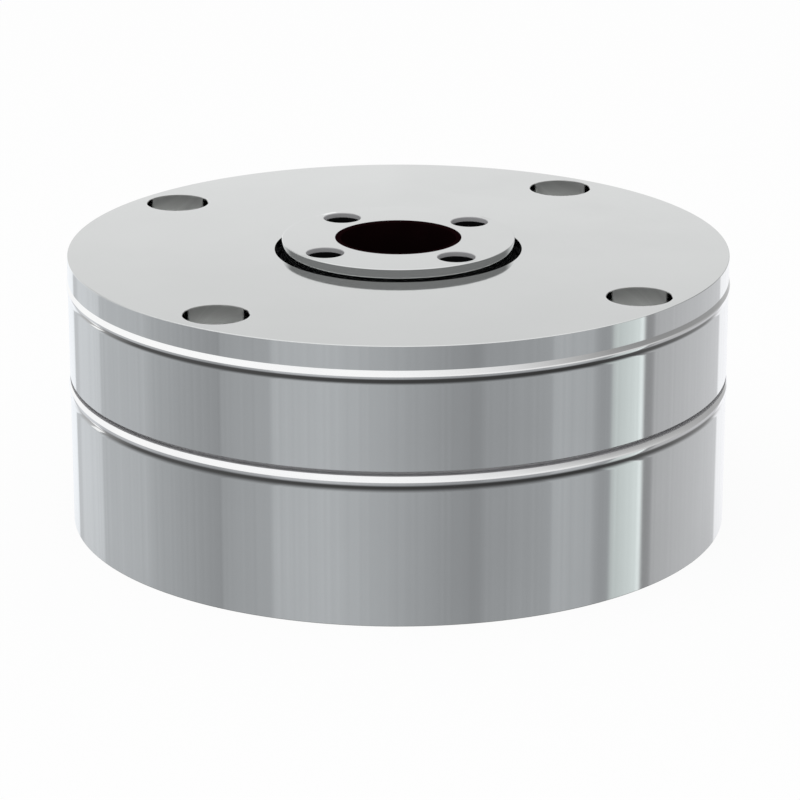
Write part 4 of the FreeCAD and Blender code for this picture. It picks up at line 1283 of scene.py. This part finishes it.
def panels(tree, around):
    """Studio panels side by side, each with its own level at both edges and fine upright lines."""
    level = gradient(tree, around, *WALL_PANELS[0])
    for row in WALL_PANELS[1:]:
        edge = smooth_step(tree, around, row[0] - PANEL_SOFT, row[0] + PANEL_SOFT)
        level = blend(tree, edge, level, gradient(tree, around, *row))
    lines = add_node(tree, "TexNoise", {"W": around, "Scale": 0.9, "Detail": 3.0}, noise_dimensions="1D")
    return maths(tree, "MULTIPLY", level, gradient(tree, lines.outputs["Fac"], *SLATS))


def ramp_around(tree, around, stops):
    """Colour that changes with the angle round the object, given by stops of angle and colour."""
    ramp = add_node(tree, "ValToRGB", {"Fac": gradient(tree, around, -HALF_TURN, HALF_TURN, 0.0, 1.0)})
    marks = ramp.color_ramp.elements
    marks[0].color = as_colour(stops[0][1])
    marks[1].color = as_colour(stops[-1][1])
    for angle, tint in stops[1:-1]:
        marks.new((angle + HALF_TURN) / (2 * HALF_TURN)).color = as_colour(tint)
    return ramp.outputs["Color"]


def tinted(tree, around, level, stage):
    """Level of the panels multiplied with their faint tints."""
    tint = ramp_around(tree, around, (
        (-HALF_TURN, stage.panel_tint),
        (STRIP_START - PANEL_SOFT, stage.panel_tint), (STRIP_START + PANEL_SOFT, stage.strip_tint),
        (STRIP_END - PANEL_SOFT, stage.strip_tint), (STRIP_END + PANEL_SOFT, stage.right_tint),
        (HALF_TURN, stage.right_tint),
    ))
    return blend(tree, 1.0, level, tint, "MULTIPLY")


def between(tree, value, low, high, soft):
    """One between two limits and nought outside them, with soft edges."""
    rise = smooth_step(tree, value, low - soft, low)
    fall = smooth_step(tree, value, high, high + soft)
    return maths(tree, "SUBTRACT", rise, fall)


class SENSOR_OT_stage(bpy.types.Operator):
    """Set the pale floor, the white studio surround, the lamp and the camera"""
    bl_idname = "sensor.stage"
    bl_label = "Stage"

    def floor(self, stage):
        """Pale floor, seen nearly white, that keeps the shadow."""
        clear_selection()
        bpy.ops.mesh.primitive_plane_add(size=FLOOR_SIZE)
        ground = bpy.context.object
        ground.name = "floor"
        ground.visible_glossy = False
        material = bpy.data.materials.new("Pale Floor")
        material.use_nodes = True
        tree = material.node_tree
        tree.nodes.remove(tree.nodes["Principled BSDF"])
        matte = add_node(tree, "BsdfDiffuse", {"Color": as_colour(stage.floor)})
        white = add_node(tree, "Emission")
        rays = add_node(tree, "LightPath")
        share = maths(tree, "MULTIPLY", rays.outputs["Is Camera Ray"], stage.floor_glow)
        both = add_node(tree, "MixShader", {0: share, 1: matte.outputs[0], 2: white.outputs[0]})
        tree.links.new(both.outputs[0], tree.nodes["Material Output"].inputs["Surface"])
        ground.data.materials.append(material)

    def mirrored_zones(self, tree, stage, angle, height):
        """What the walls and the seam rings mirror, from the floor underneath up to the horizon."""
        around = maths(tree, "DEGREES", angle)
        narrowed = maths(tree, "COSINE", maths(tree, "MULTIPLY", angle, 0.5))
        spread = maths(tree, "MAXIMUM", narrowed, LEAST_SPREAD)
        lift = maths(tree, "DIVIDE", maths(tree, "SUBTRACT", height, WALL_HEIGHT), spread)
        walls = tinted(tree, around, panels(tree, around), stage)
        glint = maths(tree, "MULTIPLY", between(tree, around, *GLINT_SIDES), between(tree, lift, *GLINT_ENDS))
        near, far, horizon = [ramp_around(tree, around, stops) for stops in (NEAR_FLOOR, FAR_FLOOR, HORIZON)]
        level = blend(tree, smooth_step(tree, height, *NEAR_FROM), stage.underneath, near)
        level = blend(tree, smooth_step(tree, lift, *WALLS_FROM), level, walls)
        level = blend(tree, glint, level, 1.0)
        level = blend(tree, smooth_step(tree, lift, *FAR_FROM), level, far)
        return blend(tree, smooth_step(tree, lift, *HORIZON_FROM), level, horizon)

    def surround(self, stage):
        """White room whose panels and dark floor show in the polished steel."""
        world = bpy.data.worlds.new("studio")
        bpy.context.scene.world = world
        world.use_nodes = True
        tree = world.node_tree
        ray = add_node(tree, "TexCoord").outputs["Generated"]
        facing = add_node(tree, "VectorRotate", {"Vector": ray, "Angle": stage.turn}, rotation_type="Z_AXIS")
        split = add_node(tree, "SeparateXYZ", {0: facing.outputs[0]}).outputs
        height = maths(tree, "DEGREES", maths(tree, "ARCSINE", split["Z"]))
        angle = maths(tree, "ARCTAN2", split["X"], maths(tree, "MULTIPLY", split["Y"], -1.0))
        level = self.mirrored_zones(tree, stage, angle, height)
        front = gradient(tree, height, *FRONT_RISE, stage.front_shade, 1.0)
        back = gradient(tree, height, *BACK_FADE)
        upper = blend(tree, smooth_step(tree, split["Y"], *BACK_FROM), front, back)
        mirrored = blend(tree, smooth_step(tree, height, *UPPER_FROM), level, upper)
        rays = add_node(tree, "LightPath").outputs
        room = blend(tree, rays["Is Glossy Ray"], stage.room, mirrored)
        seen = blend(tree, rays["Is Camera Ray"], room, 1.0)
        tree.links.new(seen, tree.nodes["Background"].inputs["Color"])

    def lamp(self, stage):
        """Large soft lamp overhead."""
        clear_selection()
        bpy.ops.object.light_add(type="AREA", location=LAMP_PLACE)
        lamp = bpy.context.object
        lamp.name = "soft_lamp"
        lamp.data.shape = "DISK"
        lamp.data.size = LAMP_SIZE
        lamp.data.energy = stage.lamp_watts
        lamp.rotation_euler = (Vector(LAMP_AIM) - lamp.location).to_track_quat("-Z", "Y").to_euler()
        lamp.visible_glossy = False

    def camera(self, stage):
        """Camera at the photograph's place and angle."""
        clear_selection()
        place = (-stage.distance * math.sin(stage.turn), -stage.distance * math.cos(stage.turn), stage.height)
        bpy.ops.object.camera_add(location=place)
        camera = bpy.context.object
        camera.name = "photo_camera"
        camera.rotation_euler = (math.pi / 2 - stage.pitch, 0.0, -stage.turn - stage.yaw)
        camera.data.sensor_width = FILM_WIDTH
        camera.data.lens = FILM_WIDTH / 2 / math.tan(stage.view / 2)
        camera.data.clip_start = VIEW_START
        camera.data.clip_end = VIEW_END
        bpy.context.scene.camera = camera

    def execute(self, context):
        stage = context.scene.sensor_stage
        self.floor(stage)
        self.surround(stage)
        self.lamp(stage)
        self.camera(stage)
        context.scene.view_settings.view_transform = "Standard"
        return {"FINISHED"}


class SENSOR_PT_panel(bpy.types.Panel):
    """Buttons that build the sensor piece by piece"""
    bl_idname = "SENSOR_PT_panel"
    bl_label = "Force sensor"
    bl_space_type = "VIEW_3D"
    bl_region_type = "UI"
    bl_category = "Sensor"

    def draw(self, context):
        column = self.layout.column(align=True)
        for operator in OPERATORS:
            column.operator(operator.bl_idname)


OPERATORS = (
    SENSOR_OT_cover,
    SENSOR_OT_seam_rings,
    SENSOR_OT_flexure,
    SENSOR_OT_base,
    SENSOR_OT_bottom,
    SENSOR_OT_liner,
    SENSOR_OT_connector,
    SENSOR_OT_inner_pieces,
    SENSOR_OT_stage,
)


def register():
    for cls in (*GROUPS.values(), *OPERATORS, SENSOR_PT_panel):
        bpy.utils.register_class(cls)
    for name, group in GROUPS.items():
        setattr(bpy.types.Scene, name, PointerProperty(type=group))


def unregister():
    for name in GROUPS:
        delattr(bpy.types.Scene, name)
    for cls in reversed((*GROUPS.values(), *OPERATORS, SENSOR_PT_panel)):
        bpy.utils.unregister_class(cls)


def main():
    register()
    bpy.ops.sensor.cover()
    bpy.ops.sensor.seam_rings()
    bpy.ops.sensor.flexure()
    bpy.ops.sensor.base()
    bpy.ops.sensor.bottom()
    bpy.ops.sensor.liner()
    bpy.ops.sensor.connector()
    bpy.ops.sensor.inner_pieces()
    bpy.ops.sensor.stage()


if __name__ == "__main__":
    main()
